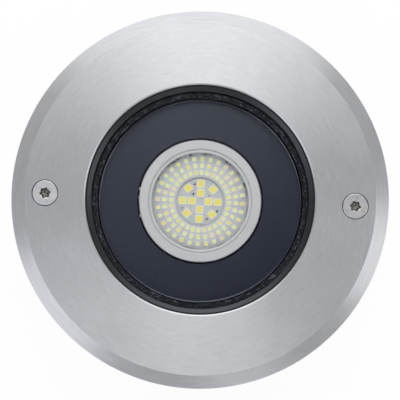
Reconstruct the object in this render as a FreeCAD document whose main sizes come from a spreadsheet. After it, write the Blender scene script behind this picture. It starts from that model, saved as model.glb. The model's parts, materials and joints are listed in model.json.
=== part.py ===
"""In-ground well light: a steel bezel over a glass, an adjustable lamp in a cast pot, and a buried sleeve.

Millimetres. Z points up along the axis of the light, the origin is the centre of the sleeve's foot,
and the two bezel screws lie on the X axis. The lamp tilts about the X direction.
"""
import FreeCAD, Part
import math
import os
import Sketcher

# Bezel, the brushed ring that shows at ground level, and its two screws.
BEZEL_RIM_WIDTH = 7.7
BEZEL_REBATE_DEPTH = 1.5
BEZEL_LIP_THICKNESS = 2.5
BEZEL_CHAMFER_WIDTH = 5.3
BEZEL_CHAMFER_DROP = 2.0
SCREW_RADIUS = 2.5
SCREW_HEAD_OVERHANG = 2.45
SCREW_HEAD_HEIGHT = 2.5
SCREW_LENGTH = 20.0
SCREW_SINK = 0.15
SCREW_SOCKET_HALF_FLATS = 1.8
SCREW_SOCKET_DEPTH = 1.9
SCREW_HOLE_CLEARANCE = 0.3
THREAD_CLEARANCE = 0.08

# Glass, and the U-section gasket round its edge.
GLASS_THICKNESS = 8.0
GLASS_FIT_CLEARANCE = 0.1
GASKET_LIP_THICKNESS = 1.5
GASKET_LIP_OVERHANG = 0.1
GASKET_LIP_GRIP = 4.6
GASKET_SHOWING_WIDTH = 2.4
GASKET_WALL_THICKNESS = 1.3
GASKET_POCKET_CLEARANCE = 0.3

# Housing, the cast pot with its flange, glass pocket, ribs and floor.
FLANGE_THICKNESS = 4.0
FLANGE_REBATE_CLEARANCE = 1.3
HOUSING_BORE_DRAFT = 1.0
HOUSING_WALL_THICKNESS = 4.0
HOUSING_FLOOR_THICKNESS = 6.0
COLLAR_WALL_THICKNESS = 3.9
COLLAR_FLOOR_THICKNESS = 5.0
WIRING_SPACE = 26.8
RIB_COUNT = 16
RIB_THICKNESS = 2.2
RIB_DRAFT = 3.0
RIB_ROOT_DEPTH = 1.0

# Sleeve, the moulded canister that stays in the ground.
SLEEVE_WALL_THICKNESS = 2.5
SLEEVE_BEYOND_SCREWS = 4.4
SLEEVE_FOOT_WIDTH = 10.0
SLEEVE_FOOT_THICKNESS = 3.0
FOOT_SPACE = 7.0
BOSS_WALL_THICKNESS = 2.1
BOSS_HOUSING_GAP = 2.5
BOSS_HEIGHT = 26.0
INSERT_WALL_THICKNESS = 1.0
INSERT_LENGTH = 12.0
INSERT_FIT_CLEARANCE = 0.05
PILOT_CLEARANCE = 0.4
PILOT_DEPTH = 6.0
NOTCH_HALF_WIDTH = 11.0
NOTCH_HEIGHT = 16.0

# Gimbal: the plate round the lamp, its ears, and the straps that carry it.
PLATE_WIDTH = 15.4
PLATE_THICKNESS = 1.5
PLATE_HOLE_CLEARANCE = 1.0
PLATE_EDGE_CLEARANCE = 2.0
EAR_THICKNESS = 1.2
EAR_HALF_WIDTH = 5.0
EAR_FLANGE_LENGTH = 6.0
WASHER_HALF_SIDE = 4.2
WASHER_THICKNESS = 0.5
STRAP_THICKNESS = 1.5
STRAP_EYE_WALL = 2.9
STRAP_EYE_GAP = 0.6
STRAP_FOOT_HALF_WIDTH = 7.0
STRAP_FOOT_MARGIN = 1.2
STRAP_SCREW_GAP = 1.7
PIVOT_RADIUS = 2.0
PIVOT_CLEARANCE = 0.05
PIVOT_HEAD_HEIGHT = 2.6
PIVOT_THREAD_OVERRUN = 0.8
PIVOT_WALL_GAP = 1.4
NUT_HALF_FLATS = 3.5
NUT_THICKNESS = 3.2

# Lamp: a reflector-size lamp with a two-pin twist base.
LAMP_RADIUS = 25.0
LAMP_BODY_LENGTH = 47.0
LAMP_PROUD_HEIGHT = 2.0
LAMP_GLASS_GAP = 10.0
RING_LIP_WIDTH = 3.25
RING_LIP_THICKNESS = 1.0
RING_SKIRT_HEIGHT = 6.5
RING_SKIRT_THICKNESS = 1.6
RING_FIT_CLEARANCE = 0.1
LENS_THICKNESS = 1.4
SHELL_WALL_THICKNESS = 1.6
SHELL_SEAT_WIDTH = 1.1
SHELL_COLLAR_STEP = 0.4
SHELL_COLLAR_HEIGHT = 2.5
FIN_COUNT = 20
FIN_THICKNESS = 1.6
FIN_ROOT_DEPTH = 0.8
FIN_FOOT_HEIGHT = 3.0
FIN_FOOT_DEPTH = 1.0
FIN_BELLY_HEIGHT = 18.0
FIN_BELLY_DEPTH = 5.9
BOARD_RECESS_DEPTH = 3.6
LED_BOARD_THICKNESS = 1.0
LAMP_BASE_HEIGHT = 5.0
LAMP_BASE_STEP = 0.7
LAMP_BASE_SPIGOT_RADIUS = 13.8
LAMP_BASE_SPIGOT_HEIGHT = 4.0
PIN_PITCH_RADIUS = 5.0
PIN_LENGTH = 7.0
PIN_HEAD_RADIUS = 2.5
PIN_HEAD_HEIGHT = 2.8
PIN_NECK_RADIUS = 1.6
DRIVER_BOARD_WIDTH = 20.0
DRIVER_BOARD_HEIGHT = 24.0
DRIVER_BOARD_THICKNESS = 1.6

# LED boards: twelve large chips in the middle, and three rings of small ones.
CENTRE_BOARD_MARGIN = 1.1
CENTRE_BOARD_THICKNESS = 0.8
LARGE_CHIP_SIDE = 2.9
LARGE_CHIP_HEIGHT = 0.7
LARGE_CHIP_RING_STEP = 3.9
INNER_CHIP_PITCH_RADIUS = 3.35
INNER_CHIP_COUNT = 4
OUTER_CHIP_COUNT = 8
SMALL_CHIP_LENGTH = 1.6
SMALL_CHIP_WIDTH = 1.3
SMALL_CHIP_HEIGHT = 0.6
SMALL_CHIP_GAP = 1.25
SMALL_CHIP_RING_STEP = 2.84
SMALL_CHIP_COUNT = 32
SMALL_CHIP_RINGS = 3
LED_TURN = -0.7

# Lampholder: base, cap with twist slots, contacts, and the bracket that hangs it from the plate.
HOLDER_RADIUS = 13.5
HOLDER_SEAT_GAP = 0.2
HOLDER_CAP_THICKNESS = 2.5
HOLDER_BASE_HEIGHT = 16.3
HOLDER_WELL_DEPTH = 8.3
HOLDER_SCREW_PITCH_RADIUS = 9.6
HOLDER_SCREW_GRIP = 7.0
PIN_SLOT_CLEARANCE = 0.3
TWIST_ANGLE = 20.0
CONTACT_GAP = 0.3
CONTACT_THICKNESS = 0.45
CONTACT_HALF_WIDTH = 1.2
CONTACT_REACH = 2.1
BRACKET_HALF_WIDTH = 8.0
BRACKET_THICKNESS = 1.2
BRACKET_LEG_CLEARANCE = 0.6
BRACKET_WEB_CLEARANCE = 1.3
BRACKET_TAB_LENGTH = 10.0
STUD_INSET = 4.0
STUD_RADIUS = 1.5
STUD_OVERRUN = 1.2
STUD_HOLE_CLEARANCE = 0.2
STUD_NUT_HALF_FLATS = 2.75
STUD_NUT_THICKNESS = 2.4

# Fasteners that several pieces share.
SMALL_SCREW_RADIUS = 1.5
SMALL_SCREW_HALF_FLATS = 2.75
SMALL_SCREW_HEAD_HEIGHT = 2.0
FLOOR_SCREW_RADIUS = 2.0
FLOOR_SCREW_HALF_FLATS = 3.5
FLOOR_SCREW_HEAD_HEIGHT = 2.8
FLOOR_HOLE_DEPTH = 4.5
SCREW_END_GAP = 0.5

# What stands on the housing's floor: terminal block and earth screw.
EARTH_SCREW_ANGLE = -45.0
EARTH_WALL_GAP = 4.4
EARTH_WASHER_HALF_SIDE = 5.0
EARTH_WASHER_THICKNESS = 1.0
BLOCK_STRIP_HALF_WIDTH = 4.5
BLOCK_STRIP_HEIGHT = 3.0
BLOCK_STRIP_MARGIN = 3.0
BLOCK_SCREW_GAP = 1.6
POLE_COUNT = 3
POLE_PITCH = 9.6
POLE_HALF_WIDTH = 3.9
POLE_HALF_LENGTH = 8.5
POLE_HEIGHT = 13.0
POLE_BEVEL = 1.2
BARREL_HALF_WIDTH = 2.6
BARREL_HEIGHT = 6.6
BARREL_WIRE_HALF_WIDTH = 1.7
BARREL_HALF_LENGTH = 7.5
BARREL_FIT_CLEARANCE = 0.1
TERMINAL_SCREW_HALF_FLATS = 1.3
TERMINAL_SCREW_SPACING = 4.2
TERMINAL_SCREW_HEIGHT = 4.2

# Cable glands in the housing's floor.
GLAND_BLOCK_GAP = 1.5
GLAND_THREAD_RADIUS = 10.0
GLAND_HOLE_CLEARANCE = 0.1
GLAND_THREAD_LENGTH = 14.0
GLAND_BORE_RADIUS = 6.5
GLAND_HEX_MARGIN = 2.0
GLAND_HEX_HEIGHT = 8.0
GLAND_WASHER_MARGIN = 0.5
GLAND_WASHER_THICKNESS = 1.5
GLAND_SPIGOT_STEP = 0.6
GLAND_SPIGOT_GAP = 0.5
GLAND_NUT_THICKNESS = 5.0
GLAND_DOME_HEIGHT = 11.5
GLAND_DOME_FLOOR = 4.0
GLAND_NOSE_HEIGHT = 3.0
GLAND_NOSE_TAPER = 40.0
GLAND_MOUTH_STEP = 0.5
SEAL_BORE_RADIUS = 4.5
SEAL_FIT_CLEARANCE = 0.1
SEAL_LENGTH = 6.5

driving_sizes = {name: value for name, value in globals().items() if isinstance(value, (int, float))}

FULL_TURN = 360
ARC_SLACK = 0.001  # keeps a round end just short of a half circle, so that its radius can be solved
doc = FreeCAD.newDocument("well_light")


class Size:
    """A length or an angle: the formula that FreeCAD's expressions read, and its present value."""

    def __init__(self, formula, value):
        self.formula = formula
        self.value = float(value)

    def join(self, sign, other, value):
        other_formula = other.formula if isinstance(other, Size) else repr(float(other))
        return Size(f"({self.formula} {sign} {other_formula})", value)

    def __add__(self, other):
        return self.join("+", other, self.value + number(other))

    def __sub__(self, other):
        return self.join("-", other, self.value - number(other))

    def __mul__(self, other):
        return self.join("*", other, self.value * number(other))

    def __truediv__(self, other):
        return self.join("/", other, self.value / number(other))

    def __neg__(self):
        return Size(f"(0 - {self.formula})", -self.value)


def number(size):
    """The plain value of a Size, or of a bare number."""
    return size.value if isinstance(size, Size) else float(size)


def put_in_sheet(title, sizes):
    """Writes the sizes into a spreadsheet, and gives each one back as a Size that reads its cell."""
    cells = doc.addObject("Spreadsheet::Sheet", title)
    linked = {}
    for row, (name, value) in enumerate(sizes.items(), start=1):
        alias = name.lower()
        cells.set(f"A{row}", alias)
        cells.set(f"B{row}", str(value))
        cells.setAlias(f"B{row}", alias)
        linked[name] = Size(f"{cells.Name}.{alias}", value)
    return linked


globals().update(put_in_sheet("Sizes", driving_sizes))
doc.recompute()

# Heights, from the sleeve's foot up: glands, floor, lampholder, lamp, plate, glass and bezel.
dome_low = FOOT_SPACE
gland_hex_low = dome_low + GLAND_DOME_HEIGHT
gland_hex_top = gland_hex_low + GLAND_HEX_HEIGHT
floor_low = gland_hex_top + GLAND_WASHER_THICKNESS
floor_top = floor_low + HOUSING_FLOOR_THICKNESS
bracket_web_low = floor_top + WIRING_SPACE
holder_low = bracket_web_low + BRACKET_THICKNESS
holder_top = holder_low + HOLDER_BASE_HEIGHT
well_floor = holder_top - HOLDER_WELL_DEPTH
cap_top = holder_top + HOLDER_CAP_THICKNESS
base_face = cap_top + HOLDER_SEAT_GAP
pin_tip = base_face - PIN_LENGTH
base_shoulder = base_face + LAMP_BASE_HEIGHT
spigot_top = base_shoulder + LAMP_BASE_SPIGOT_HEIGHT
lamp_top = base_face + LAMP_BODY_LENGTH
lens_top = lamp_top - RING_LIP_THICKNESS
lens_low = lens_top - LENS_THICKNESS
board_top = lens_low - BOARD_RECESS_DEPTH
board_low = board_top - LED_BOARD_THICKNESS
skirt_low = lens_top - RING_SKIRT_HEIGHT
plate_top = lamp_top - LAMP_PROUD_HEIGHT
plate_low = plate_top - PLATE_THICKNESS
bracket_tab_low = plate_low - BRACKET_THICKNESS
strap_eye_radius = PIVOT_RADIUS + STRAP_EYE_WALL
tilt_axis = plate_low - strap_eye_radius - STRAP_EYE_GAP
glass_low = lamp_top + LAMP_GLASS_GAP
ledge_top = glass_low - GASKET_LIP_THICKNESS
collar_low = ledge_top - COLLAR_FLOOR_THICKNESS
glass_top = glass_low + GLASS_THICKNESS
gasket_top = glass_top + GASKET_LIP_THICKNESS
bezel_top = gasket_top + BEZEL_LIP_THICKNESS
flange_top = gasket_top
flange_low = flange_top - FLANGE_THICKNESS
bezel_rim_low = flange_top - BEZEL_REBATE_DEPTH
sleeve_top = flange_low
boss_low = sleeve_top - BOSS_HEIGHT
insert_low = sleeve_top - INSERT_LENGTH
collar_bottom = skirt_low - SHELL_COLLAR_HEIGHT
thread_top = gland_hex_top + GLAND_WASHER_THICKNESS + GLAND_THREAD_LENGTH
gland_spigot_low = dome_low + GLAND_DOME_FLOOR + GLAND_SPIGOT_GAP
barrel_centre = floor_top + BARREL_HEIGHT

# Radii, from the lamp outwards: plate, housing bore, gasket and glass, housing, sleeve and bezel.
skirt_bore_radius = LAMP_RADIUS - RING_SKIRT_THICKNESS
lamp_window_radius = skirt_bore_radius - RING_LIP_WIDTH
neck_radius = skirt_bore_radius - RING_FIT_CLEARANCE
neck_bore_radius = neck_radius - SHELL_SEAT_WIDTH
spigot_hole_radius = LAMP_BASE_SPIGOT_RADIUS + RING_FIT_CLEARANCE
shell_core_radius = spigot_hole_radius + SHELL_WALL_THICKNESS
shell_collar_radius = LAMP_RADIUS - SHELL_COLLAR_STEP
plate_hole_radius = LAMP_RADIUS + PLATE_HOLE_CLEARANCE
plate_radius = plate_hole_radius + PLATE_WIDTH
housing_bore_radius = plate_radius + PLATE_EDGE_CLEARANCE
housing_foot_bore_radius = housing_bore_radius - HOUSING_BORE_DRAFT
gasket_lip_radius = housing_bore_radius - GASKET_LIP_OVERHANG
glass_radius = gasket_lip_radius + GASKET_LIP_GRIP
gasket_groove_radius = glass_radius + GLASS_FIT_CLEARANCE
gasket_radius = gasket_groove_radius + GASKET_WALL_THICKNESS
pocket_radius = gasket_radius + GASKET_POCKET_CLEARANCE
collar_radius = pocket_radius + COLLAR_WALL_THICKNESS
insert_half_flats = SCREW_RADIUS + INSERT_WALL_THICKNESS
boss_radius = insert_half_flats + BOSS_WALL_THICKNESS
screw_pitch_radius = collar_radius + BOSS_HOUSING_GAP + boss_radius
screw_hole_radius = SCREW_RADIUS + SCREW_HOLE_CLEARANCE
screw_head_radius = SCREW_RADIUS + SCREW_HEAD_OVERHANG
sleeve_radius = screw_pitch_radius + SLEEVE_BEYOND_SCREWS
sleeve_bore_radius = sleeve_radius - SLEEVE_WALL_THICKNESS
flange_radius = sleeve_radius
rebate_radius = flange_radius + FLANGE_REBATE_CLEARANCE
bezel_radius = rebate_radius + BEZEL_RIM_WIDTH
bezel_opening_radius = gasket_lip_radius + GASKET_SHOWING_WIDTH

# Places across the housing, from its wall inwards: pivot screw's end, nut, strap, washer and ear.
pivot_end = housing_foot_bore_radius - PIVOT_WALL_GAP
strap_back = pivot_end - PIVOT_THREAD_OVERRUN - NUT_THICKNESS
strap_face = strap_back - STRAP_THICKNESS
ear_back = strap_face - WASHER_THICKNESS
ear_face = ear_back - EAR_THICKNESS
strap_screw_place = strap_face - STRAP_SCREW_GAP - FLOOR_SCREW_HALF_FLATS
strap_foot_end = strap_screw_place - FLOOR_SCREW_HALF_FLATS - STRAP_FOOT_MARGIN
earth_pitch_radius = housing_foot_bore_radius - EARTH_WASHER_HALF_SIDE - EARTH_WALL_GAP
bracket_leg_face = plate_hole_radius + BRACKET_LEG_CLEARANCE
bracket_web_face = HOLDER_RADIUS + BRACKET_WEB_CLEARANCE
stud_place = bracket_leg_face + BRACKET_TAB_LENGTH - STUD_INSET

# Places on the LED boards and on the floor.
half_large_chip = LARGE_CHIP_SIDE / 2
outer_chip_pitch_radius = INNER_CHIP_PITCH_RADIUS + LARGE_CHIP_RING_STEP
centre_board_radius = outer_chip_pitch_radius + half_large_chip + CENTRE_BOARD_MARGIN
small_chip_pitch_radius = centre_board_radius + SMALL_CHIP_GAP + SMALL_CHIP_LENGTH / 2
first_pole = -(POLE_PITCH * (POLE_COUNT - 1) / 2)
block_screw_place = POLE_HALF_WIDTH - first_pole + BLOCK_SCREW_GAP + SMALL_SCREW_HALF_FLATS
gland_half_flats = GLAND_THREAD_RADIUS + GLAND_HEX_MARGIN
gland_spigot_radius = GLAND_THREAD_RADIUS - GLAND_SPIGOT_STEP
gland_place = POLE_HALF_LENGTH + GLAND_BLOCK_GAP + gland_half_flats


def new_body(name):
    body = doc.addObject("PartDesign::Body", name)
    body.Label = name
    return body


def origin_feature(body, role):
    return next(item for item in body.Origin.OriginFeatures if item.Role == role)


def bind(feature, name, size):
    """Ties a property to a size, or sets it where the size is a bare number."""
    if isinstance(size, Size):
        feature.setExpression(name, size.formula)
    else:
        setattr(feature, name, size)


def new_sketch(body, name, role, lift=None):
    """A sketch on one of the body's own origin planes, raised from it by lift."""
    sketch = body.newObject("Sketcher::SketchObject", f"{body.Name}_{name}")
    sketch.AttachmentSupport = (origin_feature(body, role), [""])
    sketch.MapMode = "FlatFace"
    if lift is not None:
        sketch.setExpression("AttachmentOffset.Base.z", lift.formula)
    return sketch


def hold_coordinate(sketch, kind, curve, point, size):
    """Holds a point's distance from the sketch's origin along one axis."""
    axis_of = {"DistanceX": -2, "DistanceY": -1}
    if not isinstance(size, Size) and size == 0:
        sketch.addConstraint(Sketcher.Constraint("PointOnObject", curve, point, axis_of[kind]))
        return
    if number(size) >= 0:
        held = Sketcher.Constraint(kind, -1, 1, curve, point, number(size))
        formula = size.formula if isinstance(size, Size) else None
    else:
        held = Sketcher.Constraint(kind, curve, point, -1, 1, -number(size))
        formula = (-size).formula if isinstance(size, Size) else None
    index = sketch.addConstraint(held)
    if formula:
        sketch.setExpression(f"Constraints[{index}]", formula)


def hold_point(sketch, curve, point, place):
    hold_coordinate(sketch, "DistanceX", curve, point, place[0])
    hold_coordinate(sketch, "DistanceY", curve, point, place[1])


def draw_outline(sketch, corners, arcs=None):
    """A closed outline. arcs holds the radius of each side that is an arc, by the side's number."""
    arcs = arcs or {}
    places = [FreeCAD.Vector(number(x), number(y), 0) for x, y in corners]
    first = sketch.GeometryCount
    for side, start in enumerate(places):
        end = places[(side + 1) % len(places)]
        if side in arcs:
            sketch.addGeometry(arc_between(start, end, number(arcs[side])))
        else:
            sketch.addGeometry(Part.LineSegment(start, end))
    for side in range(len(places)):
        here = first + side
        following = first + (side + 1) % len(places)
        sketch.addConstraint(Sketcher.Constraint("Coincident", here, end_of(sketch, here, True),
                                                 following, end_of(sketch, following, False)))
        if side in arcs:
            radius = abs(number(arcs[side]))
            index = sketch.addConstraint(Sketcher.Constraint("Radius", here, radius))
            if isinstance(arcs[side], Size):
                wanted = arcs[side] if arcs[side].value > 0 else -arcs[side]
                sketch.setExpression(f"Constraints[{index}]", wanted.formula)
    for side, corner in enumerate(corners):
        hold_point(sketch, first + side, end_of(sketch, first + side, False), corner)


def arc_between(start, end, radius):
    """The short arc from start to end. It bulges to the right, or to the left if radius is below 0."""
    chord = end - start
    half = chord.Length / 2
    rise = abs(radius) - (radius * radius - half * half) ** 0.5
    side = FreeCAD.Vector(chord.y, -chord.x, 0).normalize() * (rise if radius > 0 else -rise)
    return Part.Arc(start, (start + end) * 0.5 + side, end)


def end_of(sketch, curve, last):
    """Which point number of a curve is its last or first on the way round: an arc may run backwards."""
    shape = sketch.Geometry[curve]
    backwards = isinstance(shape, Part.ArcOfCircle) and not shape.Circle.Axis.z > 0
    return (2 if last else 1) if not backwards else (1 if last else 2)


def draw_circle(sketch, centre, radius):
    place = FreeCAD.Vector(number(centre[0]), number(centre[1]), 0)
    curve = sketch.addGeometry(Part.Circle(place, FreeCAD.Vector(0, 0, 1), number(radius)))
    if number(centre[0]) == 0 and number(centre[1]) == 0:
        sketch.addConstraint(Sketcher.Constraint("Coincident", curve, 3, -1, 1))
    else:
        hold_point(sketch, curve, 3, centre)
    index = sketch.addConstraint(Sketcher.Constraint("Radius", curve, number(radius)))
    if isinstance(radius, Size):
        sketch.setExpression(f"Constraints[{index}]", radius.formula)


def draw_hexagon(sketch, centre, half_flats):
    """A regular hexagon with two corners on the sketch's X direction."""
    corner_reach = half_flats * (2 / 3 ** 0.5)
    half_side = corner_reach / 2
    x, y = centre
    x = x if isinstance(x, Size) else corner_reach * 0 + x
    y = y if isinstance(y, Size) else corner_reach * 0 + y
    draw_outline(sketch, [
        (x + corner_reach, y),
        (x + half_side, y + half_flats),
        (x - half_side, y + half_flats),
        (x - corner_reach, y),
        (x - half_side, y - half_flats),
        (x + half_side, y - half_flats),
    ])


def draw_axis(sketch, offset, low, high):
    """A construction line parallel to Z that a profile turns about, away from the body's own axis."""
    line = Part.LineSegment(FreeCAD.Vector(number(offset), number(low), 0),
                            FreeCAD.Vector(number(offset), number(high), 0))
    curve = sketch.addGeometry(line, True)
    hold_point(sketch, curve, 1, (offset, low))
    hold_point(sketch, curve, 2, (offset, high))


def turn(body, name, corners, role="XZ_Plane", offset=None, arcs=None, cut=False):
    """Turns a profile of (radius, height) corners about the Z axis, or about a parallel line at offset."""
    sketch = new_sketch(body, name, role)
    axis = "V_Axis"
    if offset is not None:
        draw_axis(sketch, offset, corners[0][1], corners[0][1] + bezel_top)
        axis = "Axis0"
        corners = [(offset + radius, height) for radius, height in corners]
    draw_outline(sketch, corners, arcs)
    kind = "PartDesign::Groove" if cut else "PartDesign::Revolution"
    feature = body.newObject(kind, f"{body.Name}_{name}_turned")
    feature.Profile = sketch
    feature.ReferenceAxis = (sketch, [axis])
    feature.Angle = FULL_TURN
    return finish_feature(body, feature, cut)


def extrude(body, sketch, length, both_ways=False, cut=False, backwards=False, taper=None):
    """Pads a sketch by length, or cuts it by that depth. taper is the angle its sides lean in by."""
    kind = "PartDesign::Pocket" if cut else "PartDesign::Pad"
    feature = body.newObject(kind, f"{sketch.Name}_{'cut' if cut else 'pad'}")
    feature.Profile = sketch
    bind(feature, "Length", length)
    if both_ways:
        feature.SideType = "Symmetric"
    feature.Reversed = backwards
    if taper is not None:
        bind(feature, "TaperAngle", -taper)
    return finish_feature(body, feature, cut)


def finish_feature(body, feature, cut):
    """Recomputes, and makes sure that a cut really took material away."""
    base = feature.BaseFeature
    doc.recompute()
    if cut and not feature.Shape.Volume < base.Shape.Volume - 0.01:
        raise RuntimeError(f"{feature.Name} cuts nothing")
    return feature


def repeat_round(body, features, count):
    """Repeats features evenly round the Z axis."""
    pattern = body.newObject("PartDesign::PolarPattern", f"{features[-1].Name}_round")
    pattern.Originals = features
    pattern.Axis = (origin_feature(body, "Z_Axis"), [""])
    pattern.Angle = FULL_TURN
    bind(pattern, "Occurrences", count)
    body.Tip = pattern
    doc.recompute()
    return pattern


def repeat_mirrored(body, features, role="YZ_Plane"):
    """Repeats features on the other side of one of the body's origin planes."""
    pattern = body.newObject("PartDesign::Mirrored", f"{features[-1].Name}_mirrored")
    pattern.Originals = features
    pattern.MirrorPlane = (origin_feature(body, role), [""])
    body.Tip = pattern
    doc.recompute()
    return pattern


def repeat_along_x(body, features, pitch, count):
    """Repeats features in a row, centred on the YZ plane: the first copy is drawn at the low end."""
    pattern = body.newObject("PartDesign::LinearPattern", f"{features[-1].Name}_row")
    pattern.Originals = features
    pattern.Direction = (origin_feature(body, "X_Axis"), [""])
    bind(pattern, "Occurrences", count)
    bind(pattern, "Length", pitch * (count - 1))
    body.Tip = pattern
    doc.recompute()
    return pattern


def rectangle(x_low, x_high, y_low, y_high):
    return [(x_low, y_low), (x_high, y_low), (x_high, y_high), (x_low, y_high)]


# ---------------------------------------------------------------- sleeve in the ground

def make_mounting_sleeve():
    """Open moulded tube with a turned-in foot, two screw bosses and two cable notches."""
    body = new_body("mounting_sleeve")
    foot_bore_radius = sleeve_radius - SLEEVE_FOOT_WIDTH
    turn(body, "wall", [
        (foot_bore_radius, 0),
        (sleeve_radius, 0),
        (sleeve_radius, sleeve_top),
        (sleeve_bore_radius, sleeve_top),
        (sleeve_bore_radius, SLEEVE_FOOT_THICKNESS),
        (foot_bore_radius, SLEEVE_FOOT_THICKNESS),
    ])
    wall_middle = sleeve_radius - SLEEVE_WALL_THICKNESS / 2
    boss = new_sketch(body, "boss", "XY_Plane", sleeve_top)
    draw_outline(boss, [
        (screw_pitch_radius, -boss_radius),
        (wall_middle, -boss_radius),
        (wall_middle, boss_radius),
        (screw_pitch_radius, boss_radius),
    ], arcs={3: boss_radius + ARC_SLACK})
    boss_pad = extrude(body, boss, BOSS_HEIGHT, backwards=True)
    gusset = new_sketch(body, "gusset", "XZ_Plane")
    draw_outline(gusset, [
        (wall_middle, boss_low - boss_radius * 2),
        (wall_middle, boss_low + boss_radius),
        (screw_pitch_radius, boss_low + boss_radius),
        (screw_pitch_radius, boss_low),
    ])
    gusset_pad = extrude(body, gusset, boss_radius, both_ways=True)
    pocket = new_sketch(body, "insert_pocket", "XY_Plane", sleeve_top)
    draw_hexagon(pocket, (screw_pitch_radius, 0), insert_half_flats + INSERT_FIT_CLEARANCE)
    pocket_cut = extrude(body, pocket, INSERT_LENGTH, cut=True)
    pilot = new_sketch(body, "pilot_hole", "XY_Plane", insert_low)
    draw_circle(pilot, (screw_pitch_radius, 0), SCREW_RADIUS + PILOT_CLEARANCE)
    pilot_cut = extrude(body, pilot, PILOT_DEPTH, cut=True)
    repeat_mirrored(body, [boss_pad, gusset_pad, pocket_cut, pilot_cut])
    notch = new_sketch(body, "cable_notch", "XZ_Plane")
    straight = NOTCH_HEIGHT - NOTCH_HALF_WIDTH
    draw_outline(notch, [
        (-NOTCH_HALF_WIDTH, 0),
        (NOTCH_HALF_WIDTH, 0),
        (NOTCH_HALF_WIDTH, straight),
        (-NOTCH_HALF_WIDTH, straight),
    ], arcs={2: NOTCH_HALF_WIDTH + ARC_SLACK})
    extrude(body, notch, sleeve_radius * 3, both_ways=True, cut=True)
    return body


def make_threaded_inserts():
    """Hexagonal brass inserts that the bezel screws hold in."""
    body = new_body("threaded_inserts")
    sketch = new_sketch(body, "insert", "XY_Plane", insert_low)
    draw_hexagon(sketch, (screw_pitch_radius, 0), insert_half_flats)
    draw_circle(sketch, (screw_pitch_radius, 0), SCREW_RADIUS + THREAD_CLEARANCE)
    insert = extrude(body, sketch, INSERT_LENGTH)
    repeat_mirrored(body, [insert])
    return body


# ---------------------------------------------------------------- cast housing

def make_housing_body():
    """Cast pot: flange, stepped pocket for the gasket, drafted bore, cooling ribs and a drilled floor."""
    body = new_body("housing_body")
    wall_radius = housing_bore_radius + HOUSING_WALL_THICKNESS
    turn(body, "pot", [
        (0, floor_low),
        (wall_radius, floor_low),
        (wall_radius, collar_low),
        (collar_radius, collar_low),
        (collar_radius, flange_low),
        (flange_radius, flange_low),
        (flange_radius, flange_top),
        (pocket_radius, flange_top),
        (pocket_radius, ledge_top),
        (housing_bore_radius, ledge_top),
        (housing_foot_bore_radius, floor_top),
        (0, floor_top),
    ])
    rib = new_sketch(body, "rib", "XZ_Plane")
    draw_outline(rib, [
        (wall_radius - RIB_ROOT_DEPTH, floor_low),
        (collar_radius - RIB_DRAFT, floor_low),
        (collar_radius, collar_low),
        (wall_radius - RIB_ROOT_DEPTH, collar_low),
    ])
    rib_pad = extrude(body, rib, RIB_THICKNESS, both_ways=True)
    repeat_round(body, [rib_pad], RIB_COUNT)
    screw_hole = new_sketch(body, "screw_hole", "XY_Plane", flange_top)
    draw_circle(screw_hole, (screw_pitch_radius, 0), screw_hole_radius)
    draw_circle(screw_hole, (-screw_pitch_radius, 0), screw_hole_radius)
    extrude(body, screw_hole, FLANGE_THICKNESS * 2, cut=True)
    gland_hole = new_sketch(body, "gland_hole", "XY_Plane", floor_top)
    draw_circle(gland_hole, (0, gland_place), GLAND_THREAD_RADIUS + GLAND_HOLE_CLEARANCE)
    draw_circle(gland_hole, (0, -gland_place), GLAND_THREAD_RADIUS + GLAND_HOLE_CLEARANCE)
    extrude(body, gland_hole, HOUSING_FLOOR_THICKNESS * 2, cut=True)
    tapped = new_sketch(body, "tapped_holes", "XY_Plane", floor_top)
    hole = FLOOR_SCREW_RADIUS + THREAD_CLEARANCE
    draw_circle(tapped, (strap_screw_place, 0), hole)
    draw_circle(tapped, (-strap_screw_place, 0), hole)
    draw_circle(tapped, earth_place(), hole)
    draw_circle(tapped, (block_screw_place, 0), SMALL_SCREW_RADIUS + THREAD_CLEARANCE)
    draw_circle(tapped, (-block_screw_place, 0), SMALL_SCREW_RADIUS + THREAD_CLEARANCE)
    extrude(body, tapped, FLOOR_HOLE_DEPTH, cut=True)
    return body


def earth_place():
    """Where the earth screw stands on the floor."""
    return round_place(earth_pitch_radius, EARTH_SCREW_ANGLE)


def round_place(radius, angle):
    """The place at this distance from the Z axis, at this angle in degrees from the X axis."""
    cosine = Size(f"cos({angle.formula})", math.cos(math.radians(angle.value)))
    sine = Size(f"sin({angle.formula})", math.sin(math.radians(angle.value)))
    return radius * cosine, radius * sine


# ---------------------------------------------------------------- cover: bezel, screws, glass, gasket

def make_bezel_ring():
    """Turned ring with a sloped rim, a rebate over the flange and two countersunk holes."""
    body = new_body("bezel_ring")
    turn(body, "ring", [
        (bezel_opening_radius, gasket_top),
        (rebate_radius, gasket_top),
        (rebate_radius, bezel_rim_low),
        (bezel_radius, bezel_rim_low),
        (bezel_radius, bezel_top - BEZEL_CHAMFER_DROP),
        (bezel_radius - BEZEL_CHAMFER_WIDTH, bezel_top),
        (bezel_opening_radius, bezel_top),
    ])
    sink_radius = screw_head_radius + SCREW_HOLE_CLEARANCE
    sink = turn(body, "countersink", [
        (0, bezel_top + SCREW_SINK),
        (0, flange_low),
        (screw_hole_radius, flange_low),
        (screw_hole_radius, bezel_top - SCREW_SINK - SCREW_HEAD_HEIGHT),
        (sink_radius, bezel_top - SCREW_SINK),
        (sink_radius, bezel_top + SCREW_SINK),
    ], offset=screw_pitch_radius, cut=True)
    repeat_mirrored(body, [sink])
    return body


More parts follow.
